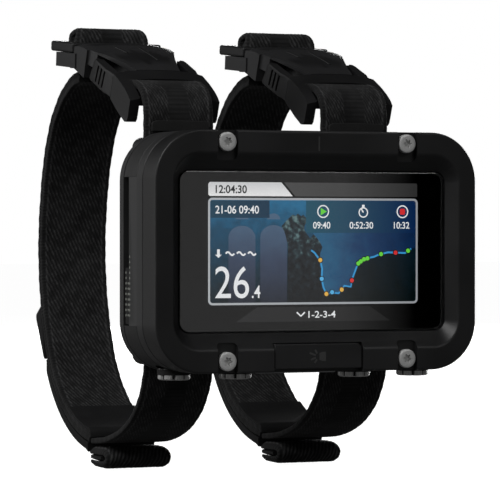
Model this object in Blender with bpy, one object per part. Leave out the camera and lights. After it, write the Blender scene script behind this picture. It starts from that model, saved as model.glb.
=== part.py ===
"""Wrist dive computer: sealed case, colour display, four bottom buttons and two buckled straps.

Frame: X to the wearer's right along the screen, Y from the screen towards the wrist, Z up the
screen.  The origin is the centre of the flat pad in the middle of the case's back.  Sizes below
are millimetres, and "depth" is the distance behind the plane of the front rim.
"""

from math import cos, pi, radians, sin

import bmesh
import bpy
from mathutils import Matrix, Vector

MM = 0.001
GAP = 0.3                    # clearance between neighbouring pieces
PAD_DEPTH = 28.8             # the back pad's face, where Y = 0

# Case outline, centred on the screen
CASE_HALF_W = 49.6
CASE_HALF_H = 33.9
CASE_CORNER = 14.0
RIM_EDGE = 0.6               # rounding of the outer front edge

# Opening in the front rim: a wide chamfer that falls to the lens
RIM_HALF_W, RIM_HALF_H, RIM_CORNER = 44.1, 27.5, 8.0
LENS_HALF_W, LENS_HALF_H, LENS_CORNER = 41.1, 22.5, 3.0
LENS_FRONT = 3.6
LENS_THICK = 1.2
SEAT_DEPTH = 6.1
SEAT_HALF_W, SEAT_HALF_H, SEAT_CORNER = 38.3, 21.1, 2.0
BEZEL_BACK = 9.7
PANEL_HALF_W, PANEL_HALF_H = 35.6, 20.6
PANEL_BACK = 8.3

# Middle shell, wrap band and rear cover
MID_FRONT = BEZEL_BACK + GAP
BAND_STEP = 14.2
MID_BACK = 24.1
BAND_RECESS = 1.1
CAVITY_HALF_W, CAVITY_HALF_H, CAVITY_CORNER = 43.6, 26.6, 8.0
WINDOW_HALF = 21.3           # half height of the gap in the band on the left side
VENT_COLUMNS = ((19.6, -1.5, 12), (21.4, -9.0, 7), (23.1, -6.0, 9))   # depth, top Z, count
VENT_PITCH = 1.5
VENT_R = 0.3
COVER_FRONT = MID_BACK + GAP
COVER_BACK = 28.0
COVER_EDGE = 0.8
PAD_HALF_W, PAD_HALF_H = 12.5, 23.0

# Case screws, in line with the straps
SCREW_X, SCREW_Z = 27.8, 30.6
SCREW_HEAD_R = 2.65
SCREW_SHANK_R = 1.2
SCREW_HOLE_R = 1.5
SCREW_END = 33.4
NOTCH_HALF = 3.1
NOTCH_FLOOR = 2.0
NOTCH_INNER = 25.4

# Panel and light bar at the bottom centre
FRONT_PANEL_HALF = 13.8
FRONT_PANEL_TOP = -25.7
FRONT_PANEL_DEPTH = 1.5
LIGHT_HALF = 12.2
LIGHT_FRONT, LIGHT_BACK = 15.0, 18.4

# Buttons
BUTTON_X = (-37.4, -18.65, 18.65, 37.4)
BUTTON_NAMES = ("1", "2", "3", "4")
BUTTON_DEPTH = 16.6
BUTTON_R = 4.65
BUTTON_BOTTOM = -36.2
BUTTON_RIM = -33.0
BORE_FLOOR = -31.6
STEM_R = 1.5
SPRING_R = 2.35
SPRING_WIRE_R = 0.25

# Straps
STRAP_X = 28.0
STRAP_SIDES = (("left", -1), ("right", 1))
WEB_HALF = 10.75
WEB_THICK = 1.8
REAR_THICK = 3.6
BRIDGE_HALF_W = 13.6
BRIDGE_HALF_H = 32.6
BRIDGE_BACK = 38.9
BRIDGE_SLOT = (34.7, 37.6)

# Buckle axis: u runs up and back along the buckle, n is its outer normal
BUCKLE_ANGLE = 21.0
BUCKLE_DEPTH, BUCKLE_Z = 64.0, 53.3
BUCKLE_HALF = 14.0
SLOT_HALF = 11.1
PLATE_ANGLE = 5.3
PLATE_DEPTH, PLATE_Z = 86.0, 58.0


# ---------------------------------------------------------------- helpers

def at(x, depth, z):
    """A point of the design in the part's frame, in metres."""
    return Vector((x, depth - PAD_DEPTH, z)) * MM


def material(name, colour, roughness, metallic=0.0):
    """One Principled material."""
    made = bpy.data.materials.new(name)
    made.use_nodes = True
    shader = made.node_tree.nodes["Principled BSDF"]
    shader.inputs["Base Color"].default_value = (*colour, 1.0)
    shader.inputs["Roughness"].default_value = roughness
    shader.inputs["Metallic"].default_value = metallic
    return made


def new_object(name, bm, look=None):
    """Turn a bmesh into a linked object with outward normals."""
    bmesh.ops.recalc_face_normals(bm, faces=bm.faces)
    mesh = bpy.data.meshes.new(name)
    bm.to_mesh(mesh)
    bm.free()
    made = bpy.data.objects.new(name, mesh)
    bpy.context.scene.collection.objects.link(made)
    if look is not None:
        mesh.materials.append(look)
    return made


def loft(name, loops, look=None):
    """A closed solid through loops of equal length, with flat ends."""
    bm = bmesh.new()
    rings = [[bm.verts.new(point) for point in loop] for loop in loops]
    count = len(rings[0])
    for near, far in zip(rings, rings[1:]):
        for i in range(count):
            j = (i + 1) % count
            bm.faces.new((near[i], near[j], far[j], far[i]))
    bm.faces.new(rings[0])
    bm.faces.new(rings[-1])
    return new_object(name, bm, look)


def rounded(half_w, half_h, radius, steps=6):
    """Outline of a rectangle with round corners, as (x, z) pairs."""
    points = []
    for quarter, (sx, sz) in enumerate(((1, 1), (-1, 1), (-1, -1), (1, -1))):
        for i in range(steps + 1):
            angle = (quarter + i / steps) * pi / 2
            x = sx * (half_w - radius) + radius * cos(angle)
            z = sz * (half_h - radius) + radius * sin(angle)
            points.append((x, z))
    return points


def outline(depth, half_w, half_h, radius, centre=(0.0, 0.0)):
    """A rounded rectangle that faces along Y at one depth."""
    return [at(x + centre[0], depth, z + centre[1]) for x, z in rounded(half_w, half_h, radius)]


def slab(name, front, back, half_w, half_h, radius, look=None, centre=(0.0, 0.0)):
    """A rounded rectangular plate between two depths."""
    near = outline(front, half_w, half_h, radius, centre)
    far = outline(back, half_w, half_h, radius, centre)
    return loft(name, [near, far], look)


def case_loop(depth, inset=0.0):
    """The case outline at one depth, drawn in by an inset."""
    return outline(depth, CASE_HALF_W - inset, CASE_HALF_H - inset, CASE_CORNER - inset)


def box(name, low, high, look=None):
    """A box between two corners given as (x, depth, z)."""
    corners = ((low[0], low[1]), (high[0], low[1]), (high[0], high[1]), (low[0], high[1]))
    loops = [[at(x, depth, z) for x, depth in corners] for z in (low[2], high[2])]
    return loft(name, loops, look)


def disc(centre, radius, axis, along, steps):
    """A ring of points round an axis: 'x', 'y' or 'z'."""
    points = []
    for i in range(steps):
        a, b = radius * cos(2 * pi * i / steps), radius * sin(2 * pi * i / steps)
        x, depth, z = centre
        if axis == "x":
            points.append(at(along, depth + a, z + b))
        elif axis == "y":
            points.append(at(x + a, along, z + b))
        else:
            points.append(at(x + a, depth + b, along))
    return points


def turned(name, centre, axis, stations, look=None, steps=20):
    """A solid of revolution through (position, radius) stations along an axis."""
    loops = [disc(centre, radius, axis, along, steps) for along, radius in stations]
    return loft(name, loops, look)


def modify(target, tool, operation):
    """Cut or join one object with another, which becomes a hidden guide."""
    step = target.modifiers.new(operation.lower(), "BOOLEAN")
    step.operation = operation
    step.solver = "EXACT"
    step.object = tool
    tool.hide_render = True
    tool.display_type = "WIRE"


def cut(target, tool):
    modify(target, tool, "DIFFERENCE")


def join(target, tool):
    modify(target, tool, "UNION")


def smooth(target, angle=35.0):
    """Shade a round piece smooth and keep its real edges sharp."""
    target.data.shade_smooth()
    target.data.set_sharp_from_angle(angle=radians(angle))


def curve_points(points, per_span=4):
    """A smooth line through (depth, z) points."""
    ends = [2 * Vector(points[0]) - Vector(points[1]), 2 * Vector(points[-1]) - Vector(points[-2])]
    knots = [ends[0], *[Vector(p) for p in points], ends[1]]
    line = []
    for a, b, c, d in zip(knots, knots[1:], knots[2:], knots[3:]):
        for i in range(per_span):
            t = i / per_span
            pull = (c - a) * t + (2 * a - 5 * b + 4 * c - d) * t**2 + (3 * b - a - 3 * c + d) * t**3
            line.append(b + pull / 2)
    line.append(Vector(points[-1]))
    return line


def ribbon(name, x, line, thick, half, look):
    """Webbing of even thickness that follows a (depth, z) line."""
    loops = []
    for i, here in enumerate(line):
        along = (line[min(i + 1, len(line) - 1)] - line[max(i - 1, 0)]).normalized()
        side = Vector((-along.y, along.x)) * thick / 2
        corners = ((-half, side), (half, side), (half, -side), (-half, -side))
        loops.append([at(x + w, here.x + s.x, here.y + s.y) for w, s in corners])
    return loft(name, loops, look)


def side_profile(name, x, points, half, look=None):
    """A solid whose (depth, z) side view is extruded across a strap."""
    loops = [[at(x + w, depth, z) for depth, z in points] for w in (-half, half)]
    return loft(name, loops, look)


def local(x, angle, depth, z):
    """Map (w, u, n) in a tilted frame on a strap's centre line to the part's frame."""
    tilt = radians(angle)

    def place(w, u, n):
        return at(x + w, depth + u * cos(tilt) - n * sin(tilt), z + u * sin(tilt) + n * cos(tilt))

    return place


def buckle_frame(x):
    return local(x, BUCKLE_ANGLE, BUCKLE_DEPTH, BUCKLE_Z)


def plate_frame(x):
    return local(x, PLATE_ANGLE, PLATE_DEPTH, PLATE_Z)


def local_box(name, place, low, high, look=None):
    """A box in a tilted frame between (w, u, n) corners."""
    corners = ((low[0], low[1]), (high[0], low[1]), (high[0], high[1]), (low[0], high[1]))
    loops = [[place(w, u, n) for w, u in corners] for n in (low[2], high[2])]
    return loft(name, loops, look)


def crowned(name, place, u_low, u_high, half, bottom, look=None):
    """A block whose top falls away at both sides, between two places along the buckle."""
    section = ((-half, bottom), (half, bottom), (half, 2.2), (half - 2.5, 3.9), (2.5 - half, 3.9), (-half, 2.2))
    loops = [[place(w, u, n) for w, n in section] for u in (u_low, u_high)]
    return loft(name, loops, look)


# ---------------------------------------------------------------- case

def make_bezel(look):
    """Front frame with the chamfered opening, four screw notches and the bottom panel's recess."""
    loops = [case_loop(0.0, RIM_EDGE), case_loop(RIM_EDGE), case_loop(BEZEL_BACK)]
    bezel = loft("bezel", loops, look)
    rise = 1.0 / LENS_FRONT
    over_w = RIM_HALF_W + rise * (RIM_HALF_W - LENS_HALF_W - GAP)
    over_h = RIM_HALF_H + rise * (RIM_HALF_H - LENS_HALF_H - GAP)
    lens_hole = (LENS_HALF_W + GAP, LENS_HALF_H + GAP, LENS_CORNER + GAP)
    opening = loft("opening_cutter", [
        outline(-1.0, over_w, over_h, RIM_CORNER),
        outline(LENS_FRONT, *lens_hole),
        outline(SEAT_DEPTH, *lens_hole),
    ])
    cut(bezel, opening)
    cut(bezel, slab("seat_cutter", 5.0, 11.0, SEAT_HALF_W, SEAT_HALF_H, SEAT_CORNER))
    for sx in (-1, 1):
        for sz in (-1, 1):
            cut(bezel, screw_notch(sx, sz))
            cut(bezel, screw_bore(sx, sz, "bezel_hole_cutter", 0.0, 11.0))
    low = (-FRONT_PANEL_HALF, -1.0, -CASE_HALF_H - 1.0)
    high = (FRONT_PANEL_HALF, FRONT_PANEL_DEPTH + 1.5, FRONT_PANEL_TOP)
    cut(bezel, box("front_panel_cutter", low, high))


def screw_notch(sx, sz):
    """Cutter for the slot that a screw head sits in, open to the outer edge."""
    z_low, z_high = sorted((sz * NOTCH_INNER, sz * (CASE_HALF_H + 1.0)))
    low = (sx * SCREW_X - NOTCH_HALF, -1.0, z_low)
    high = (sx * SCREW_X + NOTCH_HALF, NOTCH_FLOOR, z_high)
    return box("notch_cutter", low, high)


def screw_bore(sx, sz, name, front, back):
    """Cutter for a screw's clearance hole."""
    stations = ((front, SCREW_HOLE_R), (back, SCREW_HOLE_R))
    return turned(name, (sx * SCREW_X, 0, sz * SCREW_Z), "y", stations, steps=16)


def make_front_panel(look):
    """Recessed panel under the screen that carries the light's symbol."""
    low = (-FRONT_PANEL_HALF + GAP, FRONT_PANEL_DEPTH, -CASE_HALF_H + 0.9)
    high = (FRONT_PANEL_HALF - GAP, FRONT_PANEL_DEPTH + 1.2, FRONT_PANEL_TOP - GAP)
    box("light_panel", low, high, look)


def make_lens_stack(glass, rubber, panel):
    """Lens, its gasket and the display behind it."""
    slab("lens", LENS_FRONT, LENS_FRONT + LENS_THICK, LENS_HALF_W, LENS_HALF_H, LENS_CORNER, glass)
    front = LENS_FRONT + LENS_THICK + GAP
    gasket = slab("lens_gasket", front, SEAT_DEPTH - GAP, LENS_HALF_W - 0.3, LENS_HALF_H - 0.2, 2.5, rubber)
    cut(gasket, slab("gasket_cutter", 4.0, 7.0, SEAT_HALF_W + 0.2, SEAT_HALF_H + 0.2, SEAT_CORNER))
    slab("display_panel", front, PANEL_BACK, PANEL_HALF_W, PANEL_HALF_H, 1.2, panel)


def make_mid_case(look):
    """Middle shell: a ring with a step for the wrap band and all the bottom openings."""
    loops = [case_loop(MID_FRONT), case_loop(BAND_STEP)]
    loops += [case_loop(BAND_STEP, BAND_RECESS), case_loop(MID_BACK, BAND_RECESS)]
    shell = loft("mid_case", loops, look)
    cut(shell, slab("cavity_cutter", 9.0, 25.0, CAVITY_HALF_W, CAVITY_HALF_H, CAVITY_CORNER))
    for sx in (-1, 1):
        for sz in (-1, 1):
            cut(shell, screw_bore(sx, sz, "mid_hole_cutter", 9.0, 25.0))
    cut_button_openings(shell, with_stem=True)
    low = (-CASE_HALF_W - 1.0, BAND_STEP + 0.4, -WINDOW_HALF + 0.1)
    high = (-CASE_HALF_W + 2.2, 25.0, WINDOW_HALF - 0.1)
    cut(shell, box("window_cutter", low, high))


def cut_button_openings(target, with_stem):
    """Cut the four button bores and the light bar's slot in a bottom wall."""
    for x in BUTTON_X:
        centre = (x, BUTTON_DEPTH, 0)
        bore = ((-36.0, BUTTON_R + GAP), (BORE_FLOOR, BUTTON_R + GAP))
        cut(target, turned("bore_cutter", centre, "z", bore, steps=24))
        if with_stem:
            stem = ((-33.0, STEM_R + GAP), (-25.0, STEM_R + GAP))
            cut(target, turned("stem_cutter", centre, "z", stem, steps=16))
            pocket = ((-28.8, 3.0), (-25.0, 3.0))
            cut(target, turned("seal_cutter", centre, "z", pocket, steps=16))
    low = (-LIGHT_HALF - GAP, LIGHT_FRONT - GAP, -36.0)
    high = (LIGHT_HALF + GAP, LIGHT_BACK + GAP, -25.0)
    cut(target, box("light_cutter", low, high))


def make_band(look):
    """Soft band that wraps the middle shell, open at the left side window."""
    front, back = BAND_STEP + GAP, MID_BACK
    band = loft("wrap_band", [case_loop(front), case_loop(back)], look)
    inner = BAND_RECESS - GAP
    cut(band, loft("band_cutter", [case_loop(front - 1.0, inner), case_loop(back + 1.0, inner)]))
    low = (-CASE_HALF_W - 1.0, front - 1.0, -WINDOW_HALF)
    high = (-CASE_HALF_W + 6.0, back + 1.0, WINDOW_HALF)
    cut(band, box("band_window_cutter", low, high))
    cut_button_openings(band, with_stem=False)


def make_side_grille(look):
    """Thin plate with three columns of vent holes, in the left side window."""
    outer = -CASE_HALF_W + 1.4
    low = (outer, BAND_STEP + 0.7, -WINDOW_HALF + 0.4)
    high = (outer + 0.5, MID_BACK - 0.3, WINDOW_HALF - 0.4)
    plate = box("side_grille", low, high, look)
    for depth, top, count in VENT_COLUMNS:
        for i in range(count):
            centre = (0, depth, top - VENT_PITCH * i)
            stations = ((outer - 1.0, VENT_R), (outer + 1.5, VENT_R))
            cut(plate, turned("vent_cutter", centre, "x", stations, steps=6))


def make_back_cover(look, rubber, metal):
    """Rear cover with its centre pad, gasket and charging contacts."""
    loops = [case_loop(COVER_FRONT), case_loop(COVER_BACK - COVER_EDGE), case_loop(COVER_BACK, COVER_EDGE)]
    cover = loft("back_cover", loops, look)
    pad_loops = [
        outline(COVER_BACK - 0.5, PAD_HALF_W, PAD_HALF_H, 3.0),
        outline(PAD_DEPTH - 0.3, PAD_HALF_W, PAD_HALF_H, 3.0),
        outline(PAD_DEPTH, PAD_HALF_W - 0.3, PAD_HALF_H - 0.3, 2.7),
    ]
    join(cover, loft("pad_joiner", pad_loops))
    groove = slab("groove_cutter", COVER_FRONT - 1.0, COVER_FRONT + 0.9, 46.0, 28.6, 9.0)
    cut(groove, slab("groove_core", COVER_FRONT - 2.0, COVER_FRONT + 2.0, 44.6, 27.2, 7.6))
    cut(cover, groove)
    ring = slab("back_gasket", COVER_FRONT, COVER_FRONT + 0.6, 45.7, 28.3, 8.7, rubber)
    cut(ring, slab("ring_cutter", COVER_FRONT - 1.0, COVER_FRONT + 2.0, 44.9, 27.5, 7.9))
    for sx in (-1, 1):
        for sz in (-1, 1):
            cut(cover, screw_bore(sx, sz, "cover_hole_cutter", 23.0, 30.0))
    cut(cover, box("contact_cutter", (-5.3, 26.3, -29.4), (5.3, 29.0, -25.2)))
    block = box("charging_contacts", (-5.0, 26.6, -29.1), (5.0, COVER_BACK, -25.5), metal)
    for i in range(4):
        centre = (-3.3 + 2.2 * i, 0, -27.3)
        join(block, turned("contact_joiner", centre, "y", ((27.5, 0.7), (28.2, 0.7), (28.4, 0.4)), steps=10))


def make_case_screws(look):
    """Four long star-drive screws that hold the whole case and the strap bridges together."""
    for row, sz in (("upper", 1), ("lower", -1)):
        for side, sx in STRAP_SIDES:
            centre = (sx * SCREW_X, 0, sz * SCREW_Z)
            stations = (
                (0.1, SCREW_HEAD_R - 0.35),
                (0.4, SCREW_HEAD_R),
                (NOTCH_FLOOR - GAP, SCREW_HEAD_R),
                (NOTCH_FLOOR - GAP, SCREW_SHANK_R),
                (SCREW_END, SCREW_SHANK_R),
            )
            screw = turned(f"case_screw_{row}_{side}", centre, "y", stations, look, steps=24)
            cut(screw, star_socket(centre))
            smooth(screw)


def star_socket(centre):
    """Cutter for the six-lobed drive socket."""
    loops = []
    for depth in (-1.0, 1.1):
        points = []
        for i in range(12):
            radius = 1.2 if i % 2 else 0.85
            angle = pi * i / 6
            points.append(at(centre[0] + radius * cos(angle), depth, centre[2] + radius * sin(angle)))
        loops.append(points)
    return loft("star_cutter", loops)


def make_inside(board_look, cell_look, metal, light_look):
    """Electronics that the case holds."""
    board = slab("circuit_board", 10.6, 11.8, 41.0, 24.6, 4.0, board_look)
    for x in BUTTON_X:
        low, high = (x - 2.6, 11.5, -22.9), (x + 2.6, 18.6, -19.6)
        join(board, box("switch_joiner", low, high))
    join(board, box("chip_joiner", (-39.0, 11.5, 8.0), (-36.6, 13.2, 18.0)))
    join(board, box("socket_joiner", (36.6, 11.5, -14.0), (39.4, 13.6, -4.0)))
    cell = slab("battery", 12.6, 23.2, 33.0, 19.8, 3.0, cell_look, centre=(0.0, 3.4))
    edge = cell.modifiers.new("edge", "BEVEL")
    edge.width = 1.2 * MM
    edge.segments = 2
    sensor = ((-43.2, 3.4), (-41.2, 3.4), (-41.2, 2.6), (-37.0, 2.6))
    turned("pressure_sensor", (0, 19.0, -11.3), "x", sensor, metal, steps=20)
    motor = ((12.6, 4.2), (15.4, 4.2))
    turned("vibration_motor", (38.6, 0, 6.0), "y", motor, metal, steps=20)
    low, high = (-10.0, 14.0, -26.2), (10.0, 19.6, -24.6)
    light = box("light_board", low, high, light_look)
    for i in range(3):
        x = -6.0 + 6.0 * i
        join(light, box("led_joiner", (x - 1.4, 15.3, -27.0), (x + 1.4, 18.1, -26.0)))


def make_light_window(look):
    """Clear bar in the bottom wall that spreads the light."""
    low, high = (-LIGHT_HALF, LIGHT_FRONT, -34.8), (LIGHT_HALF, LIGHT_BACK, -27.9)
    window = box("light_window", low, high, look)
    edge = window.modifiers.new("edge", "BEVEL")
    edge.width = 0.4 * MM
    edge.segments = 2


# ---------------------------------------------------------------- buttons

def make_button(label, x, metal, steel, rubber):
    """One scalloped metal button with its stem, return spring and seal."""
    centre = (x, BUTTON_DEPTH, 0)
    cap = loft(f"button_cap_{label}", [scallop(centre, z, inset) for z, inset in (
        (BUTTON_BOTTOM, 0.5),
        (BUTTON_BOTTOM + 0.5, 0.0),
        (BUTTON_RIM, 0.0),
    )], metal)
    cup = ((-35.0, 3.3), (BUTTON_RIM + 1.0, 3.3))
    cut(cap, turned("cup_cutter", centre, "z", cup, steps=20))
    stem = (
        (-35.6, STEM_R), (-26.2, STEM_R), (-26.2, 2.5), (-25.4, 2.5), (-25.4, STEM_R), (-24.2, STEM_R),
    )
    join(cap, turned("stem_joiner", centre, "z", stem, steps=16))
    make_spring(f"button_spring_{label}", centre, -34.7, -31.9, steel)
    ring = turned(f"button_seal_{label}", centre, "z", ((-28.5, 2.7), (-27.0, 2.7)), rubber, steps=16)
    cut(ring, turned("ring_cutter", centre, "z", ((-30.0, STEM_R + GAP), (-25.0, STEM_R + GAP)), steps=16))


def scallop(centre, z, inset):
    """The cap's outline: eight lobes with narrow notches between them."""
    points = []
    for lobe in range(8):
        for share, depth in ((0.0, 0.75), (0.12, 0.0), (0.37, 0.0), (0.63, 0.0), (0.88, 0.0)):
            angle = 2 * pi * (lobe + share) / 8
            radius = BUTTON_R - depth - inset
            points.append(at(centre[0] + radius * cos(angle), centre[1] + radius * sin(angle), z))
    return points


def make_spring(name, centre, low, high, look, turns=3, steps=14, sides=6):
    """Coil return spring round the stem."""
    bottom, top = low + SPRING_WIRE_R, high - SPRING_WIRE_R
    loops = []
    for i in range(turns * steps + 1):
        angle = 2 * pi * i / steps
        height = bottom + (top - bottom) * i / (turns * steps)
        ring = []
        for k in range(sides):
            out = SPRING_R + SPRING_WIRE_R * cos(2 * pi * k / sides)
            rise = height + SPRING_WIRE_R * sin(2 * pi * k / sides)
            ring.append(at(centre[0] + out * cos(angle), centre[1] + out * sin(angle), rise))
        loops.append(ring)
    loft(name, loops, look)


# ---------------------------------------------------------------- straps

def make_bridge(side, x, look):
    """Bracket on the case's back that the webbing threads through."""
    name = f"strap_bridge_{side}"
    centre = (x, 0.0)
    bridge = loft(name, [
        outline(COVER_BACK + GAP, BRIDGE_HALF_W, BRIDGE_HALF_H, 3.0, centre),
        outline(BRIDGE_BACK - 0.8, BRIDGE_HALF_W, BRIDGE_HALF_H, 3.0, centre),
        outline(BRIDGE_BACK, BRIDGE_HALF_W - 0.8, BRIDGE_HALF_H - 0.8, 2.2, centre),
    ], look)
    half = WEB_HALF + 0.65
    low = (x - half, BRIDGE_SLOT[0], -BRIDGE_HALF_H - 1.0)
    high = (x + half, BRIDGE_SLOT[1], BRIDGE_HALF_H + 1.0)
    cut(bridge, box("bridge_slot_cutter", low, high))
    sx = 1 if x > 0 else -1
    for sz in (-1, 1):
        cut(bridge, screw_bore(sx, sz, "bridge_hole_cutter", 27.0, 33.8))


def make_webbing(side, x, look, tip_look):
    """The strap's front run, rear run, folds, end patch, tip and label."""
    front = [(79.3, -57.2), (67.5, -56.0), (55.6, -52.9), (46.4, -48.2), (40.3, -42.4), (37.0, -36.2)]
    front += [(36.15, -30.0), (36.15, 0.0), (36.15, 30.0), (36.3, 36.0), (36.5, 41.0)]
    front += [(37.7, 44.4), (40.1, 46.7), (43.4, 48.1), (46.7, 48.9)]
    ribbon(f"strap_front_{side}", x, curve_points(front), WEB_THICK, WEB_HALF, look)
    rear = curve_points(REAR_LINE)
    ribbon(f"strap_rear_{side}", x, rear, REAR_THICK, WEB_HALF, look)
    fold = [(69.2, -58.5), (79.3, -58.5), (79.8, -64.2), (78.8, -65.0), (69.0, -65.0), (66.9, -62.9), (66.9, -60.4)]
    side_profile(f"strap_fold_{side}", x, fold, WEB_HALF, look)
    patch = ribbon(f"strap_end_patch_{side}", x, patch_line(rear), 2.9, WEB_HALF, look)
    patch.data.materials.clear()
    patch.data.materials.append(tip_look)
    tip = [(125.0, -17.6), (129.4, -20.6), (129.2, -22.0), (122.1, -34.4), (122.9, -28.0), (124.6, -21.0)]
    side_profile(f"strap_tip_{side}", x, tip, WEB_HALF - 0.4, tip_look)
    low, high = (x - 9.0, 34.0, 34.4), (x + 8.7, 34.95, 37.5)
    box(f"strap_label_{side}", low, high, tip_look)


REAR_LINE = (
    (89.5, 52.6), (95.0, 51.6), (101.0, 49.2), (106.6, 45.8), (113.6, 39.0), (119.3, 28.5),
    (122.7, 16.5), (124.5, 2.9), (123.9, -9.0), (121.9, -19.0), (119.0, -27.5), (115.0, -35.7),
    (109.6, -42.3), (102.4, -48.1), (94.0, -52.4), (86.5, -54.7), (80.6, -55.8),
)


def patch_line(rear):
    """Centre line of the end patch, which lies on the outside of the rear run."""
    line = []
    for before, here, after in zip(rear, rear[1:], rear[2:]):
        if here.y > -33.0 or here.x < 81.0:
            continue
        along = (after - before).normalized()
        line.append(here + Vector((-along.y, along.x)) * (REAR_THICK / 2 + GAP + 1.45))
    return line


def make_male_buckle(side, x, look):
    """Front half of the buckle, with the bar that the front webbing turns round."""
    place = buckle_frame(x)
    base = crowned(f"buckle_male_{side}", place, -23.0, -12.0, BUCKLE_HALF, -4.9, look)
    for sw in (-1, 1):
        w_low, w_high = sorted((sw * (SLOT_HALF + 0.1), sw * (BUCKLE_HALF - 0.1)))
        join(base, local_box("cheek_joiner", place, (w_low, -22.6, -6.6), (w_high, -18.4, 0.0)))
    cut(base, local_box("mouth_cutter", place, (-SLOT_HALF, -25.0, -8.0), (SLOT_HALF, -18.2, 6.0)))
    cut(base, local_box("pocket_cutter", place, (-SLOT_HALF, -19.0, 0.4), (SLOT_HALF, -15.0, 3.5)))
    bar = [[place(w, -20.6 + 1.3 * cos(a), -0.1 + 1.3 * sin(a)) for a in bar_angles()] for w in (-11.6, 11.6)]
    join(base, loft("bar_joiner", bar))
    join(base, local_box("tongue_joiner", place, (-4.6, -12.6, -2.2), (4.6, 7.5, 0.4)))


def bar_angles():
    return [2 * pi * i / 12 for i in range(12)]


def make_squeeze_arms(side, x, look):
    """The two ribbed arms that are pressed in to free the buckle, hinged at their roots."""
    place = buckle_frame(x)
    for label, sw in (("outer", -1), ("inner", 1)):
        outline_uw = ((-11.6, 9.6), (-4.0, 9.4), (3.0, 9.6), (5.2, 11.4), (6.2, 13.6), (-11.6, 13.9))
        loops = []
        for n, back in ((-4.6, 0.0), (2.0, -2.6)):
            loops.append([place(sw * w, u + (back if u > 0 else 0.0), n) for u, w in outline_uw])
        arm = loft(f"squeeze_arm_{label}_{side}", loops, look)
        for i in range(3):
            u = -6.0 + 2.6 * i
            w_low, w_high = sorted((sw * 13.3, sw * 15.0))
            cut(arm, local_box("rib_cutter", place, (w_low, u - 0.5, -3.6), (w_high, u + 0.5, 1.2)))


def make_female_buckle(side, x, look):
    """Rear half of the buckle: a hollow tongue guide, cover plate, end block and strap frame."""
    place = buckle_frame(x)
    block = crowned(f"buckle_female_{side}", place, 11.3, 21.7, BUCKLE_HALF, -6.2, look)
    shape = ((-11.7, 9.0), (8.0, 12.6), (12.0, 13.4))
    rim = [(u, w) for u, w in shape] + [(u, -w) for u, w in reversed(shape)]
    plate = loft("cover_plate_joiner", [[place(w, u, n) for u, w in rim] for n in (2.4, 3.8)])
    join(block, plate)
    join(block, local_box("guide_joiner", place, (-7.2, -11.7, -4.9), (7.2, 12.0, 3.0)))
    cut(block, local_box("guide_cutter", place, (-5.4, -13.0, -3.3), (5.4, 9.0, 1.6)))
    frame = plate_frame(x)
    join(block, local_box("frame_joiner", frame, (-14.5, -3.0, -3.0), (14.5, 13.5, 1.0)))
    cut(block, local_box("frame_cutter", frame, (-SLOT_HALF, 2.4, -5.0), (SLOT_HALF, 10.8, 3.0)))


def make_adjuster(side, x, look):
    """Loose ladder plate on top of the strap frame, which grips the folded webbing."""
    frame = plate_frame(x)
    plate = local_box(f"adjuster_plate_{side}", frame, (-14.5, -0.6, 1.4), (14.5, 18.5, 4.5), look)
    cut(plate, local_box("adjuster_cutter", frame, (-SLOT_HALF, 2.4, 0.0), (SLOT_HALF, 10.8, 6.0)))


def make_top_fold(side, x, look):
    """The doubled webbing that comes up through the strap frame and turns over its bar."""
    profile = [(89.3, 55.0), (94.9, 55.2), (95.9, 62.5), (96.3, 65.8), (95.0, 67.5), (91.8, 67.5)]
    profile += [(90.0, 66.0), (89.0, 63.0)]
    side_profile(f"strap_top_fold_{side}", x, profile, WEB_HALF, look)


# ---------------------------------------------------------------- assembly

def clear_scene():
    for item in list(bpy.data.objects):
        bpy.data.objects.remove(item, do_unlink=True)


def hinge_origins():
    """Move the origins of the moving pieces onto their joints."""
    for side, sign in STRAP_SIDES:
        place = buckle_frame(sign * STRAP_X)
        for label, sw in (("outer", -1), ("inner", 1)):
            set_origin(f"squeeze_arm_{label}_{side}", place(sw * 11.6, -11.0, -1.3))
        set_origin(f"buckle_female_{side}", place(0, 0, 0))
    for label, x in zip(BUTTON_NAMES, BUTTON_X):
        set_origin(f"button_cap_{label}", at(x, BUTTON_DEPTH, BUTTON_BOTTOM))


def set_origin(name, point):
    piece = bpy.data.objects[name]
    piece.data.transform(Matrix.Translation(-point))
    piece.location = point


def main():
    clear_scene()
    shell = material("black_case_plastic", (0.012, 0.012, 0.013), 0.42)
    soft = material("dark_band_rubber", (0.02, 0.02, 0.021), 0.6)
    seal = material("seal_rubber", (0.01, 0.01, 0.01), 0.8)
    glass = material("lens_glass", (0.01, 0.01, 0.012), 0.05)
    screen = material("display_glass", (0.02, 0.06, 0.1), 0.2)
    steel = material("stainless_steel", (0.6, 0.6, 0.6), 0.3, 1.0)
    board = material("board_laminate", (0.01, 0.09, 0.04), 0.5)
    cell = material("cell_foil", (0.25, 0.25, 0.26), 0.4)
    clear = material("clear_plastic", (0.8, 0.8, 0.8), 0.15)
    webbing = material("black_webbing", (0.006, 0.006, 0.007), 0.9)
    buckle = material("buckle_plastic", (0.016, 0.016, 0.017), 0.5)
    trim = material("strap_trim", (0.01, 0.01, 0.011), 0.6)

    make_bezel(shell)
    make_front_panel(shell)
    make_lens_stack(glass, seal, screen)
    make_mid_case(shell)
    make_band(soft)
    make_side_grille(shell)
    make_back_cover(shell, seal, steel)
    make_case_screws(steel)
    make_inside(board, cell, steel, board)
    make_light_window(clear)
    for label, x in zip(BUTTON_NAMES, BUTTON_X):
        make_button(label, x, steel, steel, seal)
    for side, sign in STRAP_SIDES:
        x = sign * STRAP_X
        make_bridge(side, x, shell)
        make_webbing(side, x, webbing, trim)
        make_male_buckle(side, x, buckle)
        make_squeeze_arms(side, x, buckle)
        make_female_buckle(side, x, buckle)
        make_adjuster(side, x, buckle)
        make_top_fold(side, x, webbing)
    hinge_origins()


main()
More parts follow.
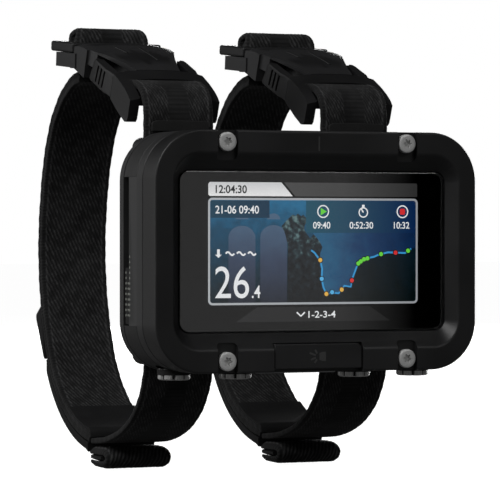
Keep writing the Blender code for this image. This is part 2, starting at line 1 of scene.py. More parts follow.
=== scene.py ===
"""Looks of the wrist dive computer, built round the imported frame.

X runs to the viewer's right along the screen, Y from the screen towards the wrist, Z up the screen.
Sizes are millimetres and repeat the design's own. "Depth" is the distance behind the front rim.
"""

from math import cos, pi, radians, sin, sqrt

import bmesh
import bpy
import numpy as np
from mathutils import Matrix, Vector


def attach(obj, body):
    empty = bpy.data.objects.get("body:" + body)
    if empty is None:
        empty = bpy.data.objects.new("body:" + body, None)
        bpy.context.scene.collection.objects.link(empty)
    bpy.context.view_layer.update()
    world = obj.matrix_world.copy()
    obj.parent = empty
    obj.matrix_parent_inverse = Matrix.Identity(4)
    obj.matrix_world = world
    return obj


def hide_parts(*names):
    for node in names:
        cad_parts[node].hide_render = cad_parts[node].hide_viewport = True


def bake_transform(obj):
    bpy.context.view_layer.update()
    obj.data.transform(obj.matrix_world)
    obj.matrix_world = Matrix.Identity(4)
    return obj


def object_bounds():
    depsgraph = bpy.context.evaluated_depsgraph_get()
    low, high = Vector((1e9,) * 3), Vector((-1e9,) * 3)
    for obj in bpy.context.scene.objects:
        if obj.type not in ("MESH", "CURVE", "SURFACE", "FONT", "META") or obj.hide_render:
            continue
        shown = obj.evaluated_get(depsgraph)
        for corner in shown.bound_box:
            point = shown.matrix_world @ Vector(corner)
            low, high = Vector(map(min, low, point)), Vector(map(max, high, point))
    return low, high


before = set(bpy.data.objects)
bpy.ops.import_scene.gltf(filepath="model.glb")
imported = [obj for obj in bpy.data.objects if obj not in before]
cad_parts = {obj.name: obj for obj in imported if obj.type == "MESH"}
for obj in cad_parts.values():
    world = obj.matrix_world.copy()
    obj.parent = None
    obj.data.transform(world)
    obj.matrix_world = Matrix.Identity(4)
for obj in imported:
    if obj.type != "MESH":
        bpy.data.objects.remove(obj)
cad_low, cad_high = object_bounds()

MM = 0.001
GAP = 0.3
PAD_DEPTH = 28.8                # the frame's origin is on the pad at the back

# Case
CASE_HALF_W, CASE_HALF_H, CASE_CORNER = 49.6, 33.9, 14.0
RIM_HALF_W, RIM_HALF_H, RIM_CORNER = 44.1, 27.5, 8.0
HOLE_HALF_W, HOLE_HALF_H, HOLE_CORNER = 41.4, 22.8, 3.3
LENS_FRONT, LENS_BACK, LENS_HALF_W, LENS_HALF_H = 3.6, 4.8, 41.1, 22.5
MASK_FRONT, MASK_BACK = 5.03, 5.08
SEAT_DEPTH, SEAT_HALF_W, SEAT_HALF_H = 6.1, 38.3, 21.1
BEZEL_BACK = 9.7
MID_FRONT, BAND_STEP, MID_BACK = 10.0, 14.2, 24.1
MID_HOLLOW = (43.6, 26.6, 8.0)
BAND_RECESS, BAND_THICK = 1.1, 0.8
WINDOW_HALF = 21.3
COVER_FRONT, COVER_BACK = 24.4, 28.0
SCREW_X, SCREW_Z, SCREW_HEAD_R, SCREW_HOLE_R = 27.8, 30.6, 2.65, 1.5
NOTCH_HALF, NOTCH_FLOOR, NOTCH_INNER, NOTCH_CORNER = 3.1, 2.0, 25.4, 1.2
PANEL_HALF, PANEL_TOP = 13.8, -25.7
LIGHT_HALF, LIGHT_FRONT, LIGHT_BACK = 12.2, 15.0, 18.4
VENT_COLUMNS = ((19.6, -1.5, 12), (21.4, -9.0, 7), (23.1, -6.0, 9))     # depth, top, count
VENT_PITCH = 1.5
VENT_EDGE = 20.5                             # depth where the flush plate ends
VENT_FLOOR, VENT_FACE = -48.1, -49.3         # X of the recess behind it and of the block in the recess

# Buttons
BUTTON_X = (-37.4, -18.65, 18.65, 37.4)
BUTTON_DEPTH, BUTTON_R, STEM_R = 16.6, 4.65, 1.5
BUTTON_BOTTOM, BORE_FLOOR = -36.2, -31.6

# Straps and buckles
STRAP_SIDES = (("left", -1), ("right", 1))
STRAP_X = 28.0
WEB_HALF, WEB_THICK, REAR_THICK, TOP_FOLD_HALF = 10.75, 1.8, 3.6, 11.8
RIB_PITCH, FINE_PITCH, RIB_HEIGHT = 1.2, 0.9, 0.14
RIB_SLANT = 0.47                # how far a rib moves across for each unit along
FOLD_MIDDLE = -61.8
BUCKLE_ANGLE, BUCKLE_DEPTH, BUCKLE_Z = 21.0, 64.0, 53.3
PLATE_ANGLE, PLATE_DEPTH, PLATE_Z = 5.3, 86.0, 58.0
BUCKLE_HALF, SLOT_HALF, MOUTH_HALF = 14.0, 11.1, 10.95


# ---------------------------------------------------------------- mesh helpers

def at(x, depth, z):
    """A point of the design in the row frame, in metres."""
    return Vector((x, depth - PAD_DEPTH, z)) * MM


def new_object(name, data):
    made = bpy.data.objects.new(name, data)
    bpy.context.scene.collection.objects.link(made)
    return made


def new_piece(name, points, faces, look=None):
    mesh = bpy.data.meshes.new(name)
    mesh.from_pydata([tuple(p) for p in points], [], faces)
    bm = bmesh.new()
    bm.from_mesh(mesh)
    bmesh.ops.recalc_face_normals(bm, faces=bm.faces)
    bm.to_mesh(mesh)
    bm.free()
    if look is not None:
        mesh.materials.append(look)
    return new_object(name, mesh)


def skin(name, loops, look=None, ring=False):
    """A closed surface through loops of equal length: flat ends, or the last loop joined to the first."""
    count, total = len(loops[0]), len(loops)
    faces = []
    for row in range(total if ring else total - 1):
        a, b = row * count, (row + 1) % total * count
        faces += [(a + i, a + (i + 1) % count, b + (i + 1) % count, b + i) for i in range(count)]
    if not ring:
        faces.append(tuple(range(count)))
        faces.append(tuple(reversed(range((total - 1) * count, total * count))))
    return new_piece(name, [p for loop in loops for p in loop], faces, look)


def rounded(half_w, half_h, radius, steps=20):
    """Outline of a rectangle with round corners, as (x, z) pairs."""
    points = []
    for quarter, (sx, sz) in enumerate(((1, 1), (-1, 1), (-1, -1), (1, -1))):
        for i in range(steps + 1):
            angle = (quarter + i / steps) * pi / 2
            x = sx * (half_w - radius) + radius * cos(angle)
            points.append((x, sz * (half_h - radius) + radius * sin(angle)))
    return points


def outline(depth, half_w, half_h, radius, centre=(0.0, 0.0), steps=20):
    return [at(x + centre[0], depth, z + centre[1]) for x, z in rounded(half_w, half_h, radius, steps)]


def eased(profile, radii, closed=True):
    """A profile whose corners are rounded. Each station is (depth, half width, half height, corner)."""
    stations = [np.array(p, float) for p in profile]
    total, steps = len(stations), 4
    result = []
    for i, (here, radius) in enumerate(zip(stations, radii)):
        if radius <= 0 or (not closed and i in (0, total - 1)):
            result.append(here)
            continue
        before, after = stations[i - 1] - here, stations[(i + 1) % total] - here
        start = here + before * min(0.45, radius / np.linalg.norm(before[:2]))
        end = here + after * min(0.45, radius / np.linalg.norm(after[:2]))
        for t in (k / steps for k in range(steps + 1)):
            result.append((1 - t) ** 2 * start + 2 * t * (1 - t) * here + t * t * end)
    return result


def framed(name, profile, radii, look):
    """A rounded rectangular frame from a closed profile."""
    return skin(name, [outline(*station) for station in eased(profile, radii)], look, ring=True)


def case_station(depth, inset=0.0):
    return (depth, CASE_HALF_W - inset, CASE_HALF_H - inset, CASE_CORNER - inset)


def disc(centre, radius, axis, along, steps):
    """A ring of points round an axis: 'x', 'y' or 'z'."""
    x, depth, z = centre
    points = []
    for i in range(steps):
        a, b = radius * cos(2 * pi * i / steps), radius * sin(2 * pi * i / steps)
        spots = {"x": (along, depth + a, z + b), "y": (x + a, along, z + b), "z": (x + a, depth + b, along)}
        points.append(at(*spots[axis]))
    return points


def turned(name, centre, axis, stations, look=None, steps=48, ring=False):
    """A solid of revolution, or a closed ring, through (position, radius) stations along an axis."""
    return skin(name, [disc(centre, radius, axis, along, steps) for along, radius in stations], look, ring)


def prism(name, points, near, far, look=None):
    """A solid with an (x, z) outline between two depths."""
    return skin(name, [[at(x, depth, z) for x, z in points] for depth in (near, far)], look)


def box(name, low, high, look=None):
    """A box between two corners given as (x, depth, z)."""
    return local_box(name, at, low, high, look)


def local_box(name, place, low, high, look=None):
    """A box between two corners in a tilted frame, or in any frame that a function maps to the row's."""
    corners = ((low[0], low[1]), (high[0], low[1]), (high[0], high[1]), (low[0], high[1]))
    return skin(name, [[place(a, b, c) for a, b in corners] for c in (low[2], high[2])], look)


def bake(piece):
    """Apply the piece's modifiers to its mesh."""
    graph = bpy.context.evaluated_depsgraph_get()
    mesh = bpy.data.meshes.new_from_object(piece.evaluated_get(graph))
    old = piece.data
    piece.modifiers.clear()
    piece.data = mesh
    bpy.data.meshes.remove(old)
    mesh.name = piece.name


def combine(piece, tool, operation):
    """Cut or join one piece with another, which is used up."""
    step = piece.modifiers.new("shape", "BOOLEAN")
    step.operation = operation
    step.solver = "EXACT"
    step.object = tool
    bake(piece)
    bpy.data.objects.remove(tool, do_unlink=True)


def cut(piece, tool):
    combine(piece, tool, "DIFFERENCE")


def join(piece, tool):
    combine(piece, tool, "UNION")


def drill(piece, centre, axis, start, end, radius, steps=48):
    cut(piece, turned("hole", centre, axis, ((start, radius), (end, radius)), steps=steps))


def merge(first, second):
    """Put a second piece's mesh into the first one."""
    bm = bmesh.new()
    bm.from_mesh(first.data)
    bm.from_mesh(second.data)
    bm.to_mesh(first.data)
    bm.free()
    bpy.data.objects.remove(second, do_unlink=True)
    return first


def smooth(piece, angle=38.0, weighted=True):
    """Smooth shading broken at sharp edges, with flat faces kept flat."""
    piece.data.shade_smooth()
    piece.data.set_sharp_from_angle(angle=radians(angle))
    if weighted:
        step = piece.modifiers.new("normals", "WEIGHTED_NORMAL")
        step.keep_sharp = True
        bake(piece)


def soften(piece, width=0.25, segments=2, angle=34.0):
    """Round a piece's sharp edges."""
    bm = bmesh.new()
    bm.from_mesh(piece.data)
    bmesh.ops.remove_doubles(bm, verts=bm.verts, dist=2e-6)
    bmesh.ops.dissolve_limit(bm, angle_limit=0.004, verts=bm.verts, edges=bm.edges)
    bm.to_mesh(piece.data)
    bm.free()
    step = piece.modifiers.new("edge", "BEVEL")
    step.width = width * MM
    step.segments = segments
    step.limit_method = "ANGLE"
    step.angle_limit = radians(angle)
    step.use_clamp_overlap = True
    bake(piece)
    smooth(piece)


def finish_piece(piece, slot, *replaced):
    """Hide the CAD nodes that a piece stands for. The slot is not used."""
    if replaced:
        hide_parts(*replaced)


def place_on(piece, body, slot, *replaced):
    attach(piece, body)
    finish_piece(piece, slot, *replaced)


def fixed(piece, slot, *replaced):
    place_on(piece, "root", slot, *replaced)


def local(x, angle, depth, z):
    """Map (w, u, n) in a tilted frame on a strap's centre line to the row frame."""
    tilt = radians(angle)

    def place(w, u, n):
        return at(x + w, depth + u * cos(tilt) - n * sin(tilt), z + u * sin(tilt) + n * cos(tilt))

    return place


def buckle_frame(x):
    return local(x, BUCKLE_ANGLE, BUCKLE_DEPTH, BUCKLE_Z)


def plate_frame(x):
    return local(x, PLATE_ANGLE, PLATE_DEPTH, PLATE_Z)


def spline(points):
    """A smooth line through (depth, z) points."""
    steps = 8
    ends = [2 * Vector(points[0]) - Vector(points[1]), 2 * Vector(points[-1]) - Vector(points[-2])]
    knots = [ends[0], *[Vector(p) for p in points], ends[1]]
    line = []
    for a, b, c, d in zip(knots, knots[1:], knots[2:], knots[3:]):
        for t in (i / steps for i in range(steps)):
            pull = (c - a) * t + (2 * a - 5 * b + 4 * c - d) * t**2 + (3 * b - a - 3 * c + d) * t**3
            line.append(b + pull / 2)
    line.append(Vector(points[-1]))
    return line


def even(line, step):
    """The line resampled at an even spacing, with the distance along it."""
    points = np.array([tuple(p) for p in line])
    runs = np.concatenate([[0.0], np.cumsum(np.linalg.norm(np.diff(points, axis=0), axis=1))])
    along = np.linspace(0.0, runs[-1], max(2, int(round(runs[-1] / step)) + 1))
    return np.stack([np.interp(along, runs, points[:, k]) for k in (0, 1)], axis=1), along


def tangents(points):
    along = np.gradient(points, axis=0)
    return along / np.linalg.norm(along, axis=1)[:, None]


# ---------------------------------------------------------------- materials

def new_look(name, colour, roughness, metallic=0.0, gloss=0.5):
    """A Principled material; returns it with its node tree and shader."""
    look = bpy.data.materials.new(name)
    look.use_nodes = True
    tree = look.node_tree
    shader = tree.nodes["Principled BSDF"]
    shader.inputs["Base Color"].default_value = (*colour, 1.0)
    shader.inputs["Roughness"].default_value = roughness
    shader.inputs["Metallic"].default_value = metallic
    shader.inputs["Specular IOR Level"].default_value = gloss
    return look, tree, shader


def add(tree, kind, **values):
    """Add a node and set its inputs or properties by name."""
    made = tree.nodes.new(kind)
    for key, value in values.items():
        label = key.replace("_", " ").title()
        if label in made.inputs:
            made.inputs[label].default_value = value
        else:
            setattr(made, key, value)
    return made


def coordinates(tree, stretch=(1.0, 1.0, 1.0)):
    """Object coordinates, stretched."""
    source = add(tree, "ShaderNodeTexCoord")
    mapping = add(tree, "ShaderNodeMapping")
    mapping.inputs["Scale"].default_value = stretch
    tree.links.new(source.outputs["Object"], mapping.inputs["Vector"])
    return mapping.outputs["Vector"]


def across_object(tree, axis):
    """Object coordinates, and one of their axes."""
    source = add(tree, "ShaderNodeTexCoord").outputs["Object"]
    split = add(tree, "ShaderNodeSeparateXYZ")
    tree.links.new(source, split.inputs["Vector"])
    return source, split.outputs[axis]


def noise(tree, vector, scale, detail=3.0, roughness=0.5):
    made = add(tree, "ShaderNodeTexNoise", scale=scale, detail=detail, roughness=roughness)
    tree.links.new(vector, made.inputs["Vector"])
    return made.outputs["Fac"]


def ramp(tree, source, stops):
    """A colour ramp through (position, colour) stops."""
    made = add(tree, "ShaderNodeValToRGB")
    elements = made.color_ramp.elements
    while len(elements) < len(stops):
        elements.new(0.5)
    for element, (position, colour) in zip(elements, stops):
        element.position = position
        element.color = (*colour, 1.0)
    tree.links.new(source, made.inputs["Fac"])
    return made.outputs["Color"]


def remap(tree, source, low, high, to_low, to_high):
    made = add(tree, "ShaderNodeMapRange", from_min=low, from_max=high, to_min=to_low, to_max=to_high)
    tree.links.new(source, made.inputs["Value"])
    return made.outputs["Result"]


def bump(tree, shader, height, distance, strength):
    made = add(tree, "ShaderNodeBump", strength=strength, distance=distance)
    tree.links.new(height, made.inputs["Height"])
    tree.links.new(made.outputs["Normal"], shader.inputs["Normal"])


def calculate(tree, operation, first, second):
    made = add(tree, "ShaderNodeMath", operation=operation)
    tree.links.new(first, made.inputs[0])
    tree.links.new(second, made.inputs[1])
    return made.outputs[0]


def mixed(tree, factor, a, b):
    """Mix two colour outputs by a factor output."""
    made = add(tree, "ShaderNodeMix", data_type="RGBA")
    for source, socket in ((factor, 0), (a, 6), (b, 7)):
        tree.links.new(source, made.inputs[socket])
    return made.outputs[2]


def toned(colour, factor):
    return tuple(c * factor for c in colour)


def mottle(tree, shader, vector, colour, scale, detail):
    """Broad, slight changes of tone."""
    stops = ((0.3, toned(colour, 0.8)), (0.7, toned(colour, 1.25)))
    tree.links.new(ramp(tree, noise(tree, vector, scale, detail), stops), shader.inputs["Base Color"])


def plastic(name, colour, roughness, grain=5200.0, wear=2.2, gloss=0.5):
    """Moulded plastic: fine spark-eroded grain, slight tone variation and paler rubbed edges."""
    look, tree, shader = new_look(name, colour, roughness, gloss=gloss)
    vector = coordinates(tree)
    broad = noise(tree, vector, 70.0, 2.0)
    light = toned(colour, 1.2)
    body = ramp(tree, broad, ((0.35, toned(colour, 0.85)), (0.65, light)))
    rubbed = ramp(tree, broad, ((0.0, toned(colour, wear)), (1.0, toned(light, wear))))
    edge = add(tree, "ShaderNodeNewGeometry").outputs["Pointiness"]
    factor = remap(tree, edge, 0.52, 0.62, 0.0, 0.7)
    tree.links.new(mixed(tree, factor, body, rubbed), shader.inputs["Base Color"])
    rough = remap(tree, broad, 0.3, 0.7, roughness - 0.04, roughness + 0.05)
    tree.links.new(rough, shader.inputs["Roughness"])
    bump(tree, shader, noise(tree, vector, grain, 2.0, 0.6), 0.00002, 0.6)
    return look


def metal(name, colour, roughness, stretch, metallic):
    """Brushed metal: fine scratches along one direction, and faint smudges."""
    look, tree, shader = new_look(name, colour, roughness, metallic)
    lines = noise(tree, coordinates(tree, stretch), 2600.0, 3.0, 0.7)
    smudge = noise(tree, coordinates(tree), 420.0, 2.0)
    stops = ((0.3, toned(colour, 0.62)), (0.7, colour))
    tree.links.new(ramp(tree, lines, stops), shader.inputs["Base Color"])
    rough = remap(tree, smudge, 0.3, 0.7, roughness - 0.06, roughness + 0.1)
    tree.links.new(rough, shader.inputs["Roughness"])
    bump(tree, shader, lines, 0.00002, 0.5)
    return look


def fabric(name, valley_painted_shade, middle, crest_painted_highlight):
    """Woven nylon coloured by its relief, with painted shade in the weave's valleys and painted highlights on
    its crests, thread grain, dust, uneven dye and a weak sheen.
    """
    look, tree, shader = new_look(name, middle, 0.82, gloss=0.2)
    height = add(tree, "ShaderNodeAttribute", attribute_name="relief").outputs["Fac"]
    thread = noise(tree, coordinates(tree), 3600.0, 3.0, 0.65)
    patch = noise(tree, coordinates(tree), 110.0, 4.0, 0.6)
    tone = calculate(tree, "MULTIPLY", height, remap(tree, thread, 0.3, 0.7, 0.8, 1.15))
    # the relief sets the colour: painted shade in the valleys, painted highlight on the crests
    body = ramp(tree, tone, ((0.05, valley_painted_shade), (0.5, middle), (0.95, crest_painted_highlight)))
    # dusty patches make the painted crest highlights brighter still
    dust_and_crest_highlight = ramp(tree, tone, ((0.05, middle), (0.5, crest_painted_highlight), (0.95, toned(crest_painted_highlight, 1.5))))
    factor = remap(tree, patch, 0.35, 0.75, 0.0, 0.45)
    tree.links.new(mixed(tree, factor, body, dust_and_crest_highlight), shader.inputs["Base Color"])
    shader.inputs["Sheen Weight"].default_value = 0.05
    shader.inputs["Sheen Roughness"].default_value = 0.5
    bump(tree, shader, thread, 0.00005, 0.6)
    return look


def rubber(name, colour, roughness, gloss=0.5):
    """Soft rubber, coated fabric or print: matt, slightly mottled, pebbled."""
    look, tree, shader = new_look(name, colour, roughness, gloss=gloss)
    vector = coordinates(tree)
    pebble = noise(tree, vector, 2400.0, 3.0, 0.55)
    mottle(tree, shader, vector, colour, 120.0, 3.0)
    rough = remap(tree, pebble, 0.3, 0.7, roughness - 0.05, roughness + 0.07)
    tree.links.new(rough, shader.inputs["Roughness"])
    bump(tree, shader, pebble, 0.00003, 0.5)
    return look


def ink(name, colour):
    """Matt black print behind the glass, with a trace of mottling."""
    look, tree, shader = new_look(name, colour, 0.9, gloss=0.0)
    mottle(tree, shader, coordinates(tree), colour, 300.0, 2.0)
    return look


def sapphire(name):
    """Clear sapphire glass with faint smears."""
    white = (1.0, 1.0, 1.0)
    look, tree, shader = new_look(name, white, 0.0)
    shader.inputs["Transmission Weight"].default_value = 1.0
    shader.inputs["IOR"].default_value = 1.77
    smear = noise(tree, coordinates(tree), 90.0, 3.0)
    tree.links.new(ramp(tree, smear, ((0.4, white), (0.8, toned(white, 0.97)))), shader.inputs["Base Color"])
    return look


def linear(colour):
    """A screen colour given as 0 to 255 values."""
    return tuple(((c / 255 + 0.055) / 1.055) ** 2.4 if c > 10 else c / 255 / 12.92 for c in colour)


def lit(name, stops, axis="Z", low=-14.5, high=14.5, mottling=0.0, patch=260.0):
    """A lit part of the screen: colour by position across it, with the panel's fine cell pattern."""
    look, tree, shader = new_look(name, (0.0, 0.0, 0.0), 0.6, gloss=0.0)
    source, place = across_object(tree, axis)
    place = remap(tree, place, low * MM, high * MM, 0.0, 1.0)
    if mottling:
        offset = remap(tree, noise(tree, source, patch, 5.0, 0.62), 0.3, 0.7, -mottling, mottling)
        place = calculate(tree, "ADD", place, offset)
    cells = remap(tree, noise(tree, source, 9000.0, 0.0), 0.3, 0.7, 0.94, 1.06)
    scaled = add(tree, "ShaderNodeVectorMath", operation="SCALE")
    shade = ramp(tree, place, [(position, linear(colour)) for position, colour in stops])
    tree.links.new(shade, scaled.inputs[0])
    tree.links.new(cells, scaled.inputs["Scale"])
    tree.links.new(scaled.outputs["Vector"], shader.inputs["Emission Color"])
    shader.inputs["Emission Strength"].default_value = 1.0
    return look


FRAME = plastic("frame_black", (0.0112, 0.0112, 0.0116), 0.42)
CASE = plastic("case_black", (0.021, 0.021, 0.0215), 0.46)
PANEL = plastic("panel_black", (0.010, 0.010, 0.0105), 0.46)
BUCKLE = plastic("buckle_black", (0.0105, 0.0105, 0.011), 0.42, 4200.0, 2.6, 0.35)
BAND = rubber("band_grey", (0.02, 0.02, 0.0205), 0.55)
SEAL = rubber("seal_black", (0.008, 0.008, 0.008), 0.75)
PATCH = rubber("strap_end_coating", (0.0125, 0.0125, 0.013), 0.66, 0.25)
# valley, middle and crest colours: painted shade in the weave's valleys, painted highlight on its crests
WEB = fabric("webbing_black", (0.0018, 0.0018, 0.0019), (0.0125, 0.0125, 0.0128), (0.066, 0.066, 0.067))
STEEL = metal("brushed_steel", (0.93, 0.93, 0.92), 0.34, (1.0, 1.0, 14.0), 0.35)
BUTTON_METAL = metal("button_steel", (0.86, 0.86, 0.85), 0.3, (1.0, 1.0, 0.12), 0.3)
GLASS = sapphire("cover_glass")
WINDOW = rubber("light_window_frosted", (0.3, 0.31, 0.32), 0.35)
MASK = ink("screen_mask", (0.0012, 0.0012, 0.0013))
VENT = rubber("vent_mesh", (0.3, 0.31, 0.28), 0.6)
PRINT = rubber("grey_print", (0.06, 0.06, 0.06), 0.55)
BOARD = plastic("board_green", (0.01, 0.07, 0.035), 0.45)
CELL = plastic("cell_foil", (0.25, 0.25, 0.26), 0.35)


# ---------------------------------------------------------------- case

def make_front_frame():
    """Front frame: chamfered opening, notches round the screws and the panel's recess."""
    profile = (
        case_station(BEZEL_BACK),
        case_station(0.0),
        (0.0, RIM_HALF_W, RIM_HALF_H, RIM_CORNER),
        (LENS_FRONT, HOLE_HALF_W, HOLE_HALF_H, HOLE_CORNER),
        (SEAT_DEPTH, HOLE_HALF_W, HOLE_HALF_H, HOLE_CORNER),
        (SEAT_DEPTH, SEAT_HALF_W, SEAT_HALF_H, 2.0),
        (BEZEL_BACK, SEAT_HALF_W, SEAT_HALF_H, 2.0),
    )
    piece = framed("front_frame", profile, (0.35, 0.6, 0.45, 0.2, 0.0, 0.0, 0.0), FRAME)
    for sx in (-1, 1):
        for sz in (-1, 1):
            cut(piece, screw_notch(sx, sz))
            drill(piece, (sx * SCREW_X, 0, sz * SCREW_Z), "y", 0.0, 11.0, SCREW_HOLE_R, 32)
    cut(piece, box("recess", (-PANEL_HALF, -1.0, -35.0), (PANEL_HALF, 3.0, PANEL_TOP)))
    cut(piece, box("tick", (-0.28, -1.0, 28.2), (0.28, 0.16, 32.4)))
    smooth(piece, 30.0)
    fixed(piece, "case_plastic", "bezel")
    mark = box("frame_tick", (-0.24, 0.06, 28.25), (0.24, 0.14, 32.35), PRINT)
    soften(mark, 0.025)
    fixed(mark, "case_plastic")


def screw_notch(sx, sz):
    """Cutter for the notch that a screw head sits in: round inner end, open to the outer edge."""
    middle, outer, steps = sx * SCREW_X, sz * (CASE_HALF_H + 2.0), 10
    side = [(middle - NOTCH_HALF, outer)]
    for cx, start in ((-NOTCH_HALF + NOTCH_CORNER, pi), (NOTCH_HALF - NOTCH_CORNER, 1.5 * pi)):
        for i in range(steps + 1):
            angle = start + pi / 2 * i / steps
            z = sz * (NOTCH_INNER + NOTCH_CORNER + NOTCH_CORNER * sin(angle))
            side.append((middle + cx + NOTCH_CORNER * cos(angle), z))
    side.append((middle + NOTCH_HALF, outer))
    return prism("notch", side, -1.0, NOTCH_FLOOR)


def bar(start, end, half):
    """The four corners of a straight bar between two (x, z) points."""
    left, right = stroke((start, end), half)
    return [left[0], left[1], right[1], right[0]]


def make_panel():
    """The recessed panel under the screen, with a raised generic light symbol."""
    half, middle = PANEL_HALF - GAP, -29.6
    corners = ((-half, -26.0), (half - 1.0, -26.0), (half, -27.2), (half, -33.0), (-half, -33.0))
    piece = prism("front_panel", corners, 0.35, 2.7, PANEL)
    soften(piece, 0.3, 3)
    fixed(piece, "case_plastic", "light_panel")
    shapes = {}
    for index, (angle, far) in enumerate(((200, 2.6), (160, 3.0), (120, 2.2), (235, 2.2))):
        x, z = cos(radians(angle)), sin(radians(angle))
        shapes[str(index)] = bar((x, middle + z), (x * far, middle + z * far), 0.26)
    shapes["lamp"] = [(0.2, -30.5), (1.1, -30.9), (2.2, -30.9), (2.2, -28.3), (1.1, -28.3), (0.2, -28.7)]
    for label, points in shapes.items():
        fixed(prism(f"light_symbol_{label}", points, 0.30, 0.5, PRINT), "case_plastic")


def make_lens():
    """Cover glass, and the black mask behind it."""
    stations = ((LENS_FRONT, 0.3), (LENS_FRONT + 0.08, 0.1), (LENS_FRONT + 0.3, 0.0), (LENS_BACK, 0.0))
    loops = [outline(d, LENS_HALF_W - i, LENS_HALF_H - i, 3.0 - i) for d, i in stations]
    piece = skin("cover_glass", loops, GLASS)
    smooth(piece, 15.0)
    fixed(piece, "lens_glass", "lens")
    loops = [outline(depth, LENS_HALF_W - 0.5, LENS_HALF_H - 0.5, 2.6) for depth in (MASK_FRONT, MASK_BACK)]
    fixed(skin("screen_mask", loops, MASK), "display")


def make_shell():
    """Middle shell: a flush front ring and a stepped body under the band."""
    profile = (
        case_station(MID_FRONT),
        case_station(BAND_STEP),
        case_station(BAND_STEP, BAND_RECESS),
        case_station(MID_BACK, BAND_RECESS),
        (MID_BACK, *MID_HOLLOW),
        (MID_FRONT, *MID_HOLLOW),
    )
    piece = framed("middle_shell", profile, (0.3, 0.0, 0.0, 0.0, 0.0, 0.0), CASE)
    for x in BUTTON_X:
        drill(piece, (x, BUTTON_DEPTH, 0), "z", -40.0, BORE_FLOOR, 4.95)
        drill(piece, (x, BUTTON_DEPTH, 0), "z", -33.0, -20.0, 3.2)
    low, high = (-LIGHT_HALF - GAP, LIGHT_FRONT - GAP, -40.0), (LIGHT_HALF + GAP, LIGHT_BACK + GAP, -20.0)
    cut(piece, box("light_hole", low, high))
    low, high = (-60.0, BAND_STEP + GAP, -WINDOW_HALF), (-47.4, MID_BACK + 1.0, WINDOW_HALF)
    cut(piece, box("side_pocket", low, high))
    smooth(piece, 30.0)
    fixed(piece, "case_plastic", "mid_case")


def make_band():
    """Soft band round the shell, open at the left window, the buttons and the light."""
    front, back = BAND_STEP + GAP, MID_BACK
    profile = [case_station(*s) for s in ((front,), (back,), (back, BAND_THICK), (front, BAND_THICK))]
    piece = framed("soft_band", profile, (0.35, 0.35, 0.0, 0.0), BAND)
    for x in BUTTON_X:
        drill(piece, (x, BUTTON_DEPTH, 0), "z", -40.0, -28.0, 5.15)
    low, high = (-LIGHT_HALF - 0.5, LIGHT_FRONT - 1.0, -40.0), (LIGHT_HALF + 0.5, LIGHT_BACK + 0.5, -28.0)
    cut(piece, box("light_hole", low, high))
    low, high = (-60.0, front - 1.0, -WINDOW_HALF + 0.35), (-40.0, back + 1.0, WINDOW_HALF - 0.35)
    cut(piece, box("side_gap", low, high))
    smooth(piece, 30.0)
    fixed(piece, "band_rubber", "wrap_band")


def make_vent_plate():
    """Left window: a flush plate, a recess behind it coloured near-black as painted shade, and small meshed
    vents low down.
    """
    half, corner, back = WINDOW_HALF - 0.4, 0.5, VENT_FLOOR - 0.02
    section = [(-CASE_HALF_W, BAND_STEP), (-CASE_HALF_W, VENT_EDGE - corner)]
    for angle in (pi / 2 * i / 4 for i in range(1, 5)):
        section.append((0.4 * (1 - cos(angle)) - CASE_HALF_W, VENT_EDGE - corner + corner * sin(angle)))
    section += [(VENT_FLOOR, VENT_EDGE), (VENT_FLOOR, 23.85), (-47.55, 23.85), (-47.55, BAND_STEP)]
    piece = skin("vent_plate", [[at(x, depth, z) for x, depth in section] for z in (-half, half)], CASE)
    vents = [(depth, top - VENT_PITCH * i) for depth, top, count in VENT_COLUMNS for i in range(count)]
    for depth, z in vents:
        if depth < VENT_EDGE:
            drill(piece, (0, depth, z), "x", -52.0, 0.4 - CASE_HALF_W, 0.42, 10)
    smooth(piece, 30.0)
    fixed(piece, "case_plastic", "side_grille")
    # the recess floor is a near-black sheet: painted shade in the window's depth
    low, high = (VENT_FLOOR - 0.12, VENT_EDGE + 0.03, -half + 0.1), (back, 23.8, half - 0.1)
    recess = box("vent_recess_painted_shade", low, high, SEAL)
    soften(recess, 0.03)
    fixed(recess, "case_plastic")
    block = box("vent_block", (VENT_FACE, VENT_EDGE + 0.25, -half + 0.3), (back, 23.75, -4.6), SEAL)
    soften(block)
    fixed(block, "case_plastic")
    mesh = None
    for depth, z in vents:
        face, proud = (-CASE_HALF_W, -0.02) if depth < VENT_EDGE else (VENT_FACE, 0.03)
        stations = ((face - proud, 0.38), (face + 0.3, 0.41))
        spot = turned("vent_mesh", (0, depth, z), "x", stations, VENT, 10)
        mesh = spot if mesh is None else merge(mesh, spot)
    fixed(mesh, "case_plastic")


def make_back():
    """Rear cover with its raised centre pad."""
    profile = (case_station(COVER_FRONT), case_station(COVER_BACK), case_station(COVER_BACK, 2.0))
    loops = [outline(*s) for s in eased(profile, (0.0, 1.0, 0.0), closed=False)]
    piece = skin("rear_cover", [outline(*case_station(COVER_FRONT, 0.2)), *loops], CASE)
    pad = ((COVER_BACK - 0.5, 0.0), (27.9, 0.0), (28.6, 0.0), (28.75, 0.1), (PAD_DEPTH, 0.3))
    join(piece, skin("pad", [outline(d, 12.5 - i, 23.0 - i, 3.0 - i) for d, i in pad]))
    cut(piece, box("contacts", (-5.3, 26.3, -29.4), (5.3, 29.0, -25.2)))
    for x in (-16.0, 16.0):
        groove = ((x - 0.4, -20.0), (x + 0.4, -20.0), (x + 0.4, 20.0), (x - 0.4, 20.0))
        cut(piece, prism("groove", groove, 27.7, 29.0))
    smooth(piece, 30.0)
    fixed(piece, "case_plastic", "back_cover")


